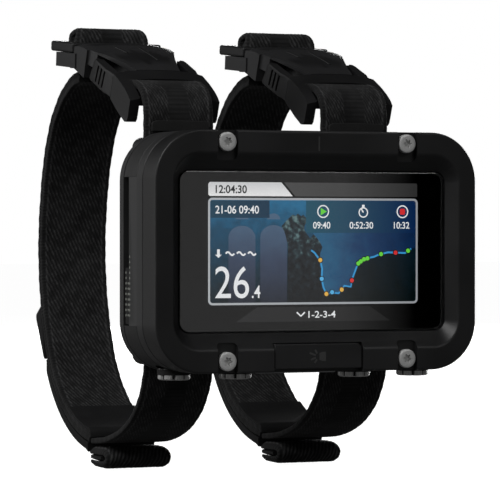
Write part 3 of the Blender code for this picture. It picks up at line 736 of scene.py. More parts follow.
def make_screws():
    """Star-drive screw heads: brushed, with a turned edge."""
    stations = ((0.08, 1.9), (0.1, 2.2), (0.2, 2.5), (0.42, SCREW_HEAD_R), (1.7, SCREW_HEAD_R),
                (1.7, 1.2), (33.4, 1.2))
    for row, sz in (("upper", 1), ("lower", -1)):
        for side, sx in STRAP_SIDES:
            x, z = sx * SCREW_X, sz * SCREW_Z
            piece = turned(f"screw_{row}_{side}", (x, 0, z), "y", stations, STEEL, 64)
            star = []
            for angle in (2 * pi * i / 60 for i in range(60)):
                radius = 1.12 + 0.22 * cos(6 * angle + 0.6)
                star.append((x + radius * cos(angle), z + radius * sin(angle)))
            cut(piece, prism("star", star, -1.0, 1.25))
            smooth(piece, 30.0)
            fixed(piece, "steel", f"case_screw_{row}_{side}")


def make_light_bar():
    low, high = (-LIGHT_HALF, LIGHT_FRONT, -34.8), (LIGHT_HALF, LIGHT_BACK, -27.9)
    piece = box("light_bar", low, high, WINDOW)
    soften(piece, 0.45, 3)
    fixed(piece, "clear_plastic", "light_window")


# ---------------------------------------------------------------- buttons

def lobed(x, z, inset):
    """The button's outline: eight broad lobes with narrow notches between them."""
    points = []
    lobes, steps = 8, 12
    for i in range(lobes * steps):
        share = (i / steps) % 1.0
        notch = max(0.0, 1.0 - abs(share - 0.5) / 0.22)
        radius = BUTTON_R - inset - 1.2 * notch * notch * (3 - 2 * notch)
        angle = 2 * pi * i / (lobes * steps)
        points.append(at(x + radius * cos(angle), BUTTON_DEPTH + radius * sin(angle), z))
    return points


def coil(name, x):
    """A button's return spring, with a wire that runs round the stem."""
    radius, wire, turns, low, high = 2.35, 0.22, 3.5, -34.4, -32.2
    steps = int(turns * 28)
    loops = []
    for share in (i / steps for i in range(steps + 1)):
        angle = 2 * pi * turns * share
        z = low + (high - low) * share
        loop = []
        for turn in (2 * pi * k / 10 for k in range(10)):
            reach = radius + wire * cos(turn)
            loop.append(at(x + reach * cos(angle), BUTTON_DEPTH + reach * sin(angle), z + wire * sin(turn)))
        loops.append(loop)
    piece = skin(name, loops, STEEL)
    smooth(piece, 40.0, weighted=False)
    return piece


def make_buttons():
    """Scalloped caps with stems, dark collars, black rings that show on the notches' floors as painted shade,
    and springs.
    """
    dome = ((0.25, 2.6), (0.12, 1.6), (0.0, 0.9), (0.06, 0.5), (0.25, 0.16), (0.5, 0.0), (3.0, 0.0),
            (3.2, 0.15))
    stem = ((-35.6, STEM_R), (-26.2, STEM_R), (-26.2, 2.5), (-25.4, 2.5), (-25.4, STEM_R), (-24.2, STEM_R))
    collar = ((-34.75, 0.05), (-34.7, 0.12), (-33.1, 0.12), (-33.05, 0.05), (-33.05, 0.01), (-34.75, 0.01))
    rings = {
        "collar": [(z, BUTTON_R + proud) for z, proud in collar],
        # a black ring that shows on the notches' floors: painted shade
        "painted_notch_shade": ((-34.8, 3.95), (-35.95, 3.95), (-35.95, 3.4), (-34.8, 3.4)),
    }
    for index, x in enumerate(BUTTON_X, 1):
        body, centre = f"button_{index}", (x, BUTTON_DEPTH, 0)
        loops = [lobed(x, BUTTON_BOTTOM + rise, inset) for rise, inset in dome]
        piece = skin(f"button_{index}_cap", loops, BUTTON_METAL)
        drill(piece, centre, "z", -35.0, -31.0, 3.3)
        join(piece, turned("stem", centre, "z", stem))
        smooth(piece, 35.0)
        place_on(piece, body, "steel", f"button_cap_{index}")
        for label, stations in rings.items():
            ring = turned(f"button_{index}_{label}", centre, "z", stations, SEAL, ring=True)
            smooth(ring, 35.0)
            place_on(ring, body, "seal_rubber")
        spring = coil(f"button_{index}_spring", x)
        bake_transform(spring)
        finish_piece(spring, "steel", f"button_spring_{index}")


# ---------------------------------------------------------------- screen

# Depth of each layer of the picture
LEVEL = {"base": 4.99, "scene": 4.965, "rock": 4.94, "box": 4.915, "line": 4.89, "mark": 4.865, "text": 4.84}
LAYER_THICK = 0.02
DIVE_LINE = (
    (-0.5, 0.3), (0.6, -0.5), (1.3, -1.4), (2.3, -2.5), (2.9, -5.0), (2.75, -7.8), (3.3, -10.2), (4.2, -12.1),
    (6.0, -11.8), (8.1, -11.9), (9.0, -10.9), (9.8, -9.8), (11.9, -10.1), (12.2, -8.3), (12.9, -6.4),
    (13.7, -4.5), (14.2, -3.5), (15.0, -2.9), (16.0, -2.3), (17.1, -2.05), (19.2, -1.6), (20.2, -1.2),
    (21.4, -0.85), (23.6, -0.35), (26.0, -0.45), (29.1, -0.55), (30.0, 0.1), (31.0, 0.7),
)
DIVE_MARKS = (
    (2.3, -2.5, "amber"), (2.75, -7.8, "blue"), (4.2, -12.1, "amber"), (6.0, -11.6, "blue"),
    (9.0, -10.9, "amber"), (12.2, -8.3, "red"), (14.2, -3.5, "green"), (15.0, -2.9, "green"),
    (16.0, -2.3, "green"), (17.1, -2.05, "green"), (21.4, -0.85, "green"), (26.0, -0.45, "red"),
    (30.0, 0.1, "green"),
)
# Plain colours, and gradients: stops, axis, range across the screen, mottling and its scale
PLAIN = {
    "screen_white": (236, 238, 240), "screen_black": (12, 14, 16), "screen_ink": (30, 31, 33),
    "line_blue": (52, 148, 206), "mark_amber": (226, 176, 76), "mark_blue": (86, 176, 226),
    "mark_red": (214, 46, 48), "mark_green": (104, 214, 64),
}
GRADIENTS = {
    "screen_tab": (((0.0, (236, 236, 236)), (1.0, (205, 206, 208))), "Z", 15.5, 19.4),
    "screen_header": (((0.0, (70, 70, 70)), (1.0, (48, 48, 48))), "X", -5.0, 33.0),
    "screen_footer": (((0.0, (34, 34, 35)), (1.0, (24, 24, 24))), "X", -20.0, 24.0),
    "screen_frame": (((0.0, (178, 182, 186)), (1.0, (150, 153, 158))), "X", -32.0, 33.0),
    "screen_water": (((0.0, (12, 24, 29)), (0.35, (15, 47, 64)), (0.7, (18, 71, 100)), (1.0, (31, 104, 143))),
                     "Z", -14.5, 14.5, 0.12),
    "screen_deep": (((0.0, (34, 94, 129)), (0.5, (14, 53, 93)), (1.0, (7, 29, 63))), "X", 0.0, 34.0, 0.1),
    "screen_haze": (((0.0, (34, 39, 50)), (0.5, (54, 66, 89)), (1.0, (73, 98, 124))), "Z", -14.0, 9.0, 0.05),
    "screen_rock": (((0.0, (10, 14, 18)), (0.45, (24, 32, 38)), (0.7, (40, 58, 64)), (1.0, (96, 124, 126))),
                    "Z", -12.0, 17.0, 0.5, 700.0),
    "screen_bed": (((0.0, (2, 12, 14)), (1.0, (8, 28, 40))), "Z", -14.5, 14.5, 0.2),
    "screen_shade": (((0.0, (18, 62, 84)), (1.0, (14, 50, 74))), "X", -31.0, -13.0),
    "screen_shade_right": (((0.0, (22, 78, 98)), (1.0, (8, 34, 76))), "X", -2.0, 33.0),
}
# Label, text, lower left corner, height, width factor and stroke weight
NUMERALS = (
    ("header", "12:04:30", -30.4, 16.35, 2.25, 0.95, 0.02),
    ("date", "21-06 09:40", -30.0, 10.65, 2.25, 0.9, 0.012),
    ("start", "09:40", 0.0, 6.45, 1.95, 0.92, 0.012),
    ("span", "0:52:30", 11.4, 6.45, 1.95, 0.96, 0.012),
    ("end", "10:32", 25.0, 6.45, 1.95, 0.92, 0.012),
    ("depth", "26", -30.4, -13.0, 9.3, 0.87, 0.0),
    ("tenths", ".4", -19.0, -13.0, 3.6, 0.8, 0.012),
    ("page", "1-2-3-4", -2.0, -18.75, 1.95, 1.15, 0.012),
)


def slab(name, points, level, look, shift=0.0, thick=LAYER_THICK):
    """A thin layer of the screen picture with an (x, z) outline."""
    depth = LEVEL[level] + shift
    fixed(prism(name, points, depth, depth + thick, look), "display")


def rect(x0, z0, x1, z1, radius):
    """A rounded rectangle between two corners."""
    cx, cz = (x0 + x1) / 2, (z0 + z1) / 2
    return [(x + cx, z + cz) for x, z in rounded(abs(x1 - x0) / 2, abs(z1 - z0) / 2, radius, 6)]


def circle(x, z, radius, steps):
    turns = [2 * pi * i / steps for i in range(steps)]
    return [(x + radius * cos(angle), z + radius * sin(angle)) for angle in turns]


def arc(x, z, half_w, half_h, steps):
    """The upper half of an ellipse, from left to right."""
    return [(x + half_w * cos(pi - pi * i / steps), z + half_h * sin(pi - pi * i / steps))
            for i in range(steps + 1)]


def ring_layer(name, outer, inner, level, look):
    """A thin closed ring between two outlines of equal length."""
    near, far = LEVEL[level], LEVEL[level] + LAYER_THICK
    loops = [[at(x, depth, z) for x, z in path] for path, depth in (
        (outer, near), (outer, far), (inner, far), (inner, near))]
    fixed(skin(name, loops, look, ring=True), "display")


def stroke(points, half):
    """The two sides of a line of even width through (x, z) points."""
    left, right = [], []
    for i, (x, z) in enumerate(points):
        ax, az = points[max(i - 1, 0)]
        bx, bz = points[min(i + 1, len(points) - 1)]
        size = sqrt((bx - ax) ** 2 + (bz - az) ** 2)
        px, pz = -(bz - az) / size * half, (bx - ax) / size * half
        left.append((x + px, z + pz))
        right.append((x - px, z - pz))
    return left, right


def line_slab(name, points, half, look):
    """A short bent line as one flat shape."""
    left, right = stroke(points, half)
    slab(name, left + right[::-1], "text", look)


def line_layer(name, points, half, level, look):
    """A long line, made of short spans."""
    near, far = LEVEL[level], LEVEL[level] + LAYER_THICK
    loops = []
    for (ax, az), (bx, bz) in zip(*stroke(points, half)):
        loops.append([at(ax, near, az), at(bx, near, bz), at(bx, far, bz), at(ax, far, az)])
    fixed(skin(name, loops, look), "display")


def numerals(name, text, x, z, height, squeeze, weight, look):
    """A row of numerals whose lower left corner is at (x, z)."""
    size = height / 0.73
    curve = bpy.data.curves.new(name, "FONT")
    curve.body = text
    curve.size = 1.0
    curve.offset = weight
    curve.extrude = LAYER_THICK / size
    source = new_object(name + "_source", curve)
    bpy.context.view_layer.update()
    graph = bpy.context.evaluated_depsgraph_get()
    mesh = bpy.data.meshes.new_from_object(source.evaluated_get(graph))
    bpy.data.objects.remove(source, do_unlink=True)
    scale = size * MM
    grow = Matrix.Diagonal((scale * squeeze, scale, MM, 1.0))
    turn = Matrix.Rotation(pi / 2, 4, "X")
    mesh.transform(Matrix.Translation(at(x, LEVEL["text"], z)) @ turn @ grow)
    mesh.materials.clear()
    mesh.materials.append(look)
    fixed(new_object(name, mesh), "display")


def make_screen():
    """A generic dive summary: header, picture with a depth line, and plain numerals."""
    looks = {name: lit(name, *row) for name, row in GRADIENTS.items()}
    looks.update({name: lit(name, ((0.0, colour), (1.0, colour))) for name, colour in PLAIN.items()})
    white = looks["screen_white"]
    tab = [(-31.6, 15.5), (-32.0, 15.9), (-32.0, 18.9), (-31.5, 19.4), (-9.7, 19.4), (-6.2, 15.5)]
    slab("screen_tab", tab, "scene", looks["screen_tab"])
    header = [(-5.4, 15.5), (-8.9, 19.4), (32.6, 19.35), (32.95, 19.0), (32.95, 15.5)]
    slab("screen_header", header, "scene", looks["screen_header"])
    footer = [(-17.2, -15.7), (17.9, -15.7), (24.3, -19.8), (-23.6, -19.8)]
    slab("screen_footer", footer, "scene", looks["screen_footer"])
    outer, inner = rect(-32.1, -15.0, 33.1, 15.0, 1.3), rect(-31.5, -14.4, 32.5, 14.4, 0.8)
    ring_layer("screen_frame", outer, inner, "box", looks["screen_frame"])
    slab("screen_water", rect(-31.6, -14.5, 1.5, 14.5, 0.2), "base", looks["screen_water"])
    deep = [(0.2, -14.5), (32.6, -14.5), (32.6, 14.5), (0.2, 14.5)]
    slab("screen_water_deep", deep, "base", looks["screen_deep"], -0.012, 0.008)
    for index, (x, top) in enumerate(((-21.8, 7.2), (-12.1, 7.4))):
        arch = [(x - 4.1, -14.4), *arc(x, top - 3.4, 4.1, 3.4, 16), (x + 4.1, -14.4)]
        slab(f"screen_haze_{index}", arch, "scene", looks["screen_haze"])
        slab(f"screen_haze_top_{index}", arc(x, 9.0, 2.0, 1.7, 10), "scene", looks["screen_haze"])
    rock = [(-7.9, -14.4), (-7.8, 2.0), (-8.6, 5.0), (-9.7, 7.1), (-7.6, 9.2), (-6.2, 10.4), (-5.4, 10.0),
            (-4.6, 10.7), (-3.6, 9.9), (-2.9, 10.3), (-1.4, 8.7), (-2.5, 7.4), (-2.7, 6.1), (-1.7, 4.7),
            (-0.8, 3.6), (0.2, 4.8), (1.2, 3.9), (2.2, 2.6), (3.0, 1.2), (2.3, -0.6), *DIVE_LINE[3:8],
            (5.4, -14.4)]
    slab("screen_rock", rock, "rock", looks["screen_rock"])
    bed = [(4.2, -14.4), *DIVE_LINE[7:], (32.5, 0.9), (32.5, -14.4)]
    slab("screen_bed", bed, "scene", looks["screen_bed"])
    slab("screen_box_left", rect(-31.4, 9.4, -13.4, 14.3, 0.1), "box", looks["screen_shade"])
    slab("screen_box_right", rect(-2.1, 5.2, 32.3, 14.3, 0.1), "box", looks["screen_shade_right"])
    line_layer("screen_depth_line", DIVE_LINE, 0.26, "line", looks["line_blue"])
    for index, (x, z, colour) in enumerate(DIVE_MARKS):
        rim = circle(x, z, 0.86, 20)
        slab(f"screen_mark_rim_{index}", rim, "mark", looks["screen_black"], 0.004, 0.008)
        slab(f"screen_mark_{index}", circle(x, z, 0.62, 20), "text", looks[f"mark_{colour}"], thick=0.008)
    make_icons(white, looks["mark_green"], looks["mark_red"])
    for label, *row in NUMERALS:
        numerals(f"numerals_{label}", *row, looks["screen_ink"] if label == "header" else white)
    line_slab("screen_chevron", ((-5.0, -17.2), (-3.75, -18.3), (-2.5, -17.2)), 0.22, white)
    arrow = [(-29.4, 0.6), (-29.4, -0.9), (-30.0, -0.9), (-29.0, -1.8), (-28.0, -0.9), (-28.6, -0.9),
             (-28.6, 0.6)]
    slab("screen_depth_arrow", arrow, "text", white)
    for index, (x, length) in enumerate(((-26.8, 2.6), (-23.4, 2.6), (-20.0, 2.4))):
        wave = [(x + length * i / 12, 0.45 * sin(2 * pi * i / 12) - 0.6) for i in range(13)]
        line_slab(f"screen_wave_{index}", wave, 0.24, white)


def make_icons(white, green, red):
    """Start, stop and elapsed-time symbols."""
    rings = (("start", 3.2, 11.25, 1.85), ("stop", 28.2, 11.25, 1.85), ("elapsed", 15.8, 11.0, 1.5))
    for label, x, z, radius in rings:
        outer, inner = circle(x, z, radius, 36), circle(x, z, radius - 0.35, 36)
        ring_layer(f"screen_ring_{label}", outer, inner, "mark", white)
    slab("screen_watch_crown", rect(15.4, 12.4, 16.2, 13.2, 0.1), "mark", white)
    slab("screen_watch_hand", bar((15.8, 11.0), (15.2, 12.0), 0.2), "mark", white)
    slab("screen_play", [(2.45, 10.2), (4.35, 11.25), (2.45, 12.3)], "mark", green)
    slab("screen_record", rect(27.4, 10.4, 29.0, 12.1, 0.35), "mark", red)


# ---------------------------------------------------------------- webbing

# Centre lines as (depth, z) points
REAR_LINE = (
    (89.5, 52.6), (95.0, 51.6), (101.0, 49.2), (106.6, 45.8), (113.6, 39.0), (119.3, 28.5),
    (122.7, 16.5), (124.5, 2.9), (123.9, -9.0), (121.9, -19.0), (119.0, -27.5), (115.0, -35.7),
    (109.6, -42.3), (102.4, -48.1), (94.0, -52.4), (86.5, -54.7), (80.6, -55.8),
)
FRONT_LINE = (
    (79.3, -57.2), (67.5, -56.0), (55.6, -52.9), (46.4, -48.2), (40.3, -42.4), (37.0, -36.2),
    (36.15, -30.0), (36.15, 0.0), (36.15, 30.0), (36.3, 36.0), (36.5, 41.0),
    (37.7, 44.4), (40.1, 46.7), (43.4, 48.1), (46.7, 48.9),
)
FOLD_LINE = (
    (79.2, -59.6), (73.0, -59.5), (69.6, -59.9), (67.9, -61.6), (69.5, -63.8), (73.0, -64.1), (78.6, -64.0),
)
FOLD_CORE = ((70.6, -61.8), (75.0, -61.9), (79.0, -61.8))
LINER_LINE = (
    (98.0, -48.1), (94.0, -50.1), (90.5, -51.5), (84.0, -53.1), (81.2, -53.6), (80.1, -54.4), (79.8, -56.0),
)
TOP_FOLD_LINE = (
    (90.4, 55.2), (90.0, 59.0), (89.9, 63.0), (90.6, 65.6), (93.0, 66.6), (95.2, 65.4), (95.1, 62.4),
    (94.3, 58.5), (93.9, 55.4),
)


def twill(along, across, half, striped, lean, pitch):
    """Relief of the weave at each point: slanting ribs made of short floats, and corded selvedges.

    A striped face has a smooth stripe along its middle. lean is the side the ribs lean to."""
    wander = 0.12 * np.sin(along * 1.9) * np.sin(across * 1.3) + 0.05 * np.sin(along * 5.3 + across * 2.7)
    phase = (across + along * RIB_SLANT * lean + wander) / pitch
    rib = np.floor(phase)
    ridge = np.sin(pi * (phase - rib)) ** 1.2
    scatter = np.sin(rib * 12.9898) * 437.585       # a different start of the floats on each rib
    float_phase = along / 3.1 + scatter - np.floor(scatter)
    pick = 0.5 + 0.5 * np.cos(2 * pi * float_phase)
    uneven = 0.85 + 0.15 * np.sin(rib * 7.13 + np.floor(float_phase) * 78.233)
    relief = RIB_HEIGHT * ridge * (0.8 + 0.2 * pick) * uneven
    if striped:
        ribbed = np.clip((np.abs(across) - 2.9) / 0.5, 0.0, 1.0)
        fine = 0.045 + 0.02 * np.sin(2 * pi * along / 1.3)
        relief = relief * ribbed + fine * (1 - ribbed)
    inside = np.clip((half - 1.15 - np.abs(across)) / 0.25, 0.0, 1.0)
    cord = 0.05 + 0.03 * np.sin(2 * pi * along / 1.1)
    seam = np.exp(-((half - 1.5 - np.abs(across)) / 0.3) ** 2) * 0.05
    return relief * inside + cord * (1 - inside) + seam


def weave(name, x, line, thick, half=WEB_HALF, layers=1, taper=None, step=0.5, columns=84, lean=1,
          pitch=RIB_PITCH):
    """A webbing strap along a line: woven faces, round selvedges for each layer, closed ends.

    taper maps the share of the length to a factor on the width. The outer face is striped."""
    points, along = even(spline(line), step)
    widths = half + 0.05 * np.sin(along * 1.7) + 0.04 * np.sin(along * 0.61 + x)
    if taper is not None:
        widths *= np.array([taper(s) for s in along / along[-1]])
    across, height, tone = [], [], []
    for side in (1, -1):
        for share in np.linspace(-1.0, 1.0, columns) * side:
            across.append(share * (widths - 0.35))
            relief = twill(along, across[-1], widths, side == 1, lean, pitch)
            height.append(side * (thick / 2 - 0.12 + relief))
            # colour level from the relief: painted shade where low, painted highlight where high
            tone.append(relief / RIB_HEIGHT)
        for k in range(1, 5 * layers):
            turn = k / (5 * layers)
            lobe = sin(pi * ((turn * layers) % 1.0))
            bulge = 0.35 * (lobe if layers == 1 else sqrt(max(0.0, lobe)))
            stitch = 0.05 * np.sin(2 * pi * along / 1.1 + side)
            across.append(side * (widths - 0.35 + bulge + stitch * sin(pi * turn)))
            height.append(np.full(len(along), side * cos(pi * turn) * (thick / 2 - 0.1)))
            tone.append(0.35 + 6.0 * stitch)
    across, height = np.stack(across, axis=1), np.stack(height, axis=1)
    tangent = tangents(points)
    depth = points[:, :1] - tangent[:, 1:] * height
    z = points[:, 1:] + tangent[:, :1] * height
    piece = skin(name, np.stack([x + across, depth - PAD_DEPTH, z], axis=2) * MM, WEB)
    # the relief and selvedge stitches are kept as a colour level for the material: painted shade in the
    # valleys, painted highlight on the crests
    relief = piece.data.attributes.new("relief", "FLOAT", "POINT")
    relief.data.foreach_set("value", np.stack(tone, axis=1).reshape(-1).astype(np.float32))
    smooth(piece, 60.0, weighted=False)
    return piece


def ribbon(name, x, line, thick, half):
    """A smooth coated strip with soft edges that follows a (depth, z) line."""
    points, _ = even(line, 0.6)
    section = []
    for side in (1, -1):
        for share in (side * (1 - 2 * i / 12) for i in range(13)):
            section.append((share * half, side * thick / 2 * (1 - 0.45 * share**10)))
    loops = []
    for (depth, z), (run, rise) in zip(points, tangents(points)):
        loops.append([at(x + w, depth - rise * n, z + run * n) for w, n in section])
    piece = skin(name, loops, PATCH)
    smooth(piece, 50.0)
    return piece


def pillow(piece, x):
    """Draw a folded strap's side edges together, so that its corners are round."""
    reach, pull = 2.2, 0.4
    level = FOLD_MIDDLE * MM
    for vertex in piece.data.vertices:
        over = (abs(vertex.co.x - x * MM) / MM - (WEB_HALF - reach)) / reach
        if over > 0:
            vertex.co.z = level + (vertex.co.z - level) * (1 - pull * min(over, 1.0) ** 2)


def make_straps():
    """Each strap's front run, rear run, bottom fold with its core and liner, top fold and trim."""
    for side, sign in STRAP_SIDES:
        x = sign * STRAP_X
        body = f"buckle_rear_{side}"
        front = weave(f"webbing_front_{side}", x, FRONT_LINE, WEB_THICK, columns=108, pitch=FINE_PITCH)
        fixed(front, "webbing", f"strap_front_{side}")
        rear = weave(f"webbing_rear_{side}", x, REAR_LINE, REAR_THICK, layers=2, lean=-1)
        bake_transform(rear)
        finish_piece(rear, "webbing", f"strap_rear_{side}")
        fold = weave(f"webbing_fold_{side}", x, FOLD_LINE, WEB_THICK, WEB_HALF + 0.35,
                     taper=lambda s: 1.0 - 0.06 * sin(pi * s) ** 8, step=0.4)
        core_line = [Vector(p) for p in FOLD_CORE]
        core = ribbon(f"webbing_fold_core_{side}", x, core_line, 2.5, WEB_HALF + 0.1)
        pillow(fold, x)
        pillow(core, x)
        liner = ribbon(f"strap_liner_{side}", x, spline(LINER_LINE), 0.8, WEB_HALF - 0.05)
        fixed(fold, "webbing", f"strap_fold_{side}")
        fixed(core, "webbing")
        fixed(liner, "strap_trim")
        top = weave(f"webbing_top_fold_{side}", x, TOP_FOLD_LINE, WEB_THICK, TOP_FOLD_HALF,
                    taper=lambda s: 1.0 - 0.13 * max(0.0, sin(pi * s)) ** 24, step=0.4)
        place_on(top, body, "webbing", f"strap_top_fold_{side}")
        make_end_patch(side, x)
        make_trim(side, x)


def make_end_patch(side, x):
    """Coated end patch outside the rear run: thin at its start, with a lip at its end."""
    step, thickest = 0.8, 2.7
    line, _ = even(spline(REAR_LINE), step)
    spots = []
    for before, here, after in zip(line, line[1:], line[2:]):
        if here[0] >= 81.0 and here[1] <= -33.0:
            along = Vector(after - before).normalized()
            spots.append((Vector(here), Vector((-along.y, along.x))))
    loops = []
    count = len(spots)
    for i, (here, normal) in enumerate(spots):
        share = i / (count - 1)
        thick = thickest * min(1.0, sqrt(share * count * step / 3.0) if i else 0.15)
        lip = 0.5 * max(0.0, 1 - (1 - share) * count * step / 2.0)
        loop = []
        for w, n in patch_section(WEB_HALF + 0.1, thick, lip):
            spot = here + normal * (REAR_THICK / 2 + GAP + n)
            loop.append(at(x + w, spot.x, spot.y))
        loops.append(loop)
    piece = skin(f"strap_end_{side}", loops, PATCH)
    smooth(piece, 40.0)
    fixed(piece, "strap_trim", f"strap_end_patch_{side}")


def patch_section(half, thick, lip):
    """Cross-section of the coated end: soft edges, slightly crowned outside."""
    top = [(share * (half - 0.25), thick + lip - 0.35 * share**6) for share in (i / 6 - 1 for i in range(13))]
    return [(-half + 0.2, 0.0), (-half, 0.25), *top, (half, 0.25), (half - 0.2, 0.0)]


def make_trim(side, x):
    """Moulded tip, and the blank label at the strap's base."""
    tip = ((125.0, -17.6), (129.2, -20.3), (129.4, -21.2), (129.1, -22.2), (122.1, -34.4), (122.9, -28.0),
           (124.6, -21.0))
    half = WEB_HALF - 0.4
    end = skin(f"strap_tip_cap_{side}", [[at(w, d, z) for d, z in tip] for w in (x - half, x + half)], PATCH)
    soften(end, 0.35, 3, 25.0)
    fixed(end, "strap_trim", f"strap_tip_{side}")
    label = ((-9.0, 36.6), (-8.6, 37.1), (-7.4, 37.45), (0.0, 37.5), (7.4, 37.45), (8.7, 37.2), (8.7, 34.4),
             (-9.0, 34.4))
    tag = prism(f"strap_tag_{side}", [(x + w, z) for w, z in label], 34.0, 34.95, SEAL)
    soften(tag, 0.2, 2, 25.0)
    fixed(tag, "strap_trim", f"strap_label_{side}")


def make_bridges():
    """Brackets on the case's back that the webbing threads through."""
    back = 38.9
    for side, sign in STRAP_SIDES:
        x = sign * STRAP_X
        stations = ((28.3, 13.6, 32.6, 3.0), (back, 13.6, 32.6, 3.0), (back, 11.0, 30.0, 1.5))
        loops = [outline(*s, (x, 0.0), 8) for s in eased(stations, (0.0, 1.2, 0.0), closed=False)]
        piece = skin(f"strap_bracket_{side}", loops, CASE)
        half = WEB_HALF + 0.65
        cut(piece, box("slot", (x - half, 34.7, -34.0), (x + half, 37.6, 34.0)))
        for sz in (-1, 1):
            drill(piece, (sign * SCREW_X, 0, sz * SCREW_Z), "y", 27.0, 33.8, SCREW_HOLE_R, 24)
        for offset in (-6.0, 6.0):
            loops = [outline(depth, 0.45, 22.0, 0.4, (x + offset, 0.0), 4) for depth in (back - 0.4, 40.0)]
            cut(piece, skin("groove", loops))
        soften(piece, 0.35, 2, 50.0)
        fixed(piece, "case_plastic", f"strap_bridge_{side}")


# ---------------------------------------------------------------- buckles

# Height of the buckle's side edge along its length, as (u, n) points
ARCH = (
    (-27.4, -0.5), (-25.5, 0.5), (-23.0, 1.3), (-18.0, 2.2), (-12.35, 2.7), (-4.0, 2.85), (3.2, 2.75),
    (9.0, 2.5), (14.75, 2.1), (18.5, 1.3), (22.5, 0.0),
)


def crown(u, w):
    """Height of the buckle's curved top."""
    edge = float(np.interp(u, *zip(*ARCH)))
    return edge + 1.35 * (1 - min(1.0, abs(w) / BUCKLE_HALF) ** 3)


def crowned(name, place, stations, bottom, look=None):
    """A block with a curved top through (u, half width) stations."""
    steps = 16
    loops = []
    for u, half in stations:
        widths = [half - 2 * half * i / steps for i in range(steps + 1)]
        top = [place(w, u, crown(u, w)) for w in widths]
        loops.append([place(-half, u, bottom), place(half, u, bottom), *top])
    return skin(name, loops, look)


def even_stations(low, high, count):
    return [(low + (high - low) * i / (count - 1), BUCKLE_HALF) for i in range(count)]


def make_front_half(side, x):
    """Front half of the buckle, with the bar that the front webbing turns round."""
    place = buckle_frame(x)
    piece = crowned(f"buckle_front_{side}", place, even_stations(-27.2, -12.0, 10), -4.9, BUCKLE)
    cheek = ((-27.1, -0.6), (-27.1, -6.0), (-26.4, -7.1), (-25.0, -7.5), (-20.0, -6.8), (-12.1, -4.95),
             (-12.1, 1.0))
    for sw in (-1, 1):
        faces = [[place(sw * w, u, n) for u, n in cheek] for w in (MOUTH_HALF, BUCKLE_HALF)]
        join(piece, skin("cheek", faces))
    cut(piece, local_box("mouth", place, (-MOUTH_HALF, -29.0, -9.0), (MOUTH_HALF, -18.2, 6.0)))
    cut(piece, local_box("pocket", place, (-SLOT_HALF, -19.0, 0.4), (SLOT_HALF, -15.0, 2.4)))
    section = circle(-20.6, -0.1, 1.3, 24)
    join(piece, skin("bar", [[place(w, u, n) for u, n in section] for w in (-11.6, 11.6)]))
    join(piece, local_box("tongue", place, (-4.6, -12.6, -2.2), (4.6, 7.5, 0.4)))
    soften(piece, 0.95, 4, 40.0)
    fixed(piece, "buckle_plastic", f"buckle_male_{side}")


def make_arms(side, x):
    """The two ribbed arms that are pressed in to free the buckle."""
    place = buckle_frame(x)
    path = ((-11.6, 11.3), (-4.0, 11.5), (3.0, 11.7), (5.4, 12.2), (6.4, 13.3), (6.0, 14.2), (4.5, 14.5),
            (-6.5, 14.5), (-8.5, 14.0), (-11.6, 13.9))
    levels = ((-4.9, 0.4, 0.25), (-4.4, 0.2, 0.0), (1.6, -2.2, 0.0), (2.3, -2.6, 0.25))     # n, shift, inset
    for label, sw in (("outer", -1), ("inner", 1)):
        loops = []
        for n, shift, inset in levels:
            loops.append([place(sw * (w - (inset if w > 13 else 0.0)), u + (shift if u > 4 else 0.0), n)
                          for u, w in path])
        arm = skin(f"buckle_arm_{label}_{side}", loops, BUCKLE)
        near, far = sorted((sw * 13.75, sw * 16.0))
        section = ((near, -0.55), (far, -0.55), (far, 0.55), (near, 0.55))
        for u in (-5.6, -2.9, -0.2):
            loops = [[place(w, u + du + lean, n) for w, du in section]
                     for n, lean in ((-3.9, 0.5), (1.4, -0.5))]
            cut(arm, skin("rib", loops))
        soften(arm, 0.3, 3, 30.0)
        place_on(arm, f"squeeze_arm_{label}_{side}", "buckle_plastic", f"squeeze_arm_{label}_{side}")


def make_rear_half(side, x):
    """Rear half of the buckle: cover plate, tongue guide, end block and strap frame."""
    place = buckle_frame(x)
    body = f"buckle_rear_{side}"
    piece = crowned(f"buckle_rear_half_{side}", place, even_stations(11.3, 21.9, 7), -6.2, BUCKLE)
    join(piece, crowned("plate_root", place, ((6.9, 12.23), (9.0, 12.8), (12.0, 13.5)), -2.0))
    plate = ((-11.7, 6.9), (-6.0, 8.1), (0.0, 9.8), (4.0, 11.1), (7.0, 12.25))
    join(piece, crowned("cover_plate", place, plate, 2.45))
    join(piece, local_box("guide", place, (-6.6, -11.7, -4.9), (6.6, 12.0, 2.9)))
    cut(piece, local_box("hollow", place, (-5.4, -13.0, -3.3), (5.4, 9.0, 1.1)))
    join(piece, local_box("strap_frame", plate_frame(x), (-14.4, -3.0, -3.0), (14.4, 13.5, 1.3)))
    cut(piece, local_box("strap_slot", plate_frame(x), (-SLOT_HALF, 2.4, -5.0), (SLOT_HALF, 10.8, 3.0)))
    soften(piece, 0.7, 4, 40.0)
    place_on(piece, body, "buckle_plastic", f"buckle_female_{side}")
    for index, (w0, u0, w1, u1) in enumerate(((3.4, -2.5, 2.1, 10.6), (-3.9, 4.6, -5.2, 10.6))):
        loops = []
        for t in (k / 8 for k in range(9)):
            w, u = w0 + (w1 - w0) * t, u0 + (u1 - u0) * t
            section = ((-0.45, -0.3), (-0.3, 0.22), (0.3, 0.22), (0.45, -0.3))
            loops.append([place(w + dw, u, crown(u, w) + dn) for dw, dn in section])
        rib = skin(f"buckle_rib_{index}_{side}", loops, BUCKLE)
        soften(rib, 0.12, 2, 30.0)
        place_on(rib, body, "buckle_plastic")


def make_ladder(side, x):
    """Loose ladder plate on top of the strap frame."""
    place = plate_frame(x)
    plate = local_box(f"ladder_plate_{side}", place, (-14.5, -0.6, 1.4), (14.5, 18.5, 4.5), BUCKLE)
    cut(plate, local_box("ladder_slot", place, (-SLOT_HALF, 2.4, 0.0), (SLOT_HALF, 10.8, 6.0)))
    soften(plate, 0.7, 4, 40.0)
    place_on(plate, f"buckle_rear_{side}", "buckle_plastic", f"adjuster_plate_{side}")


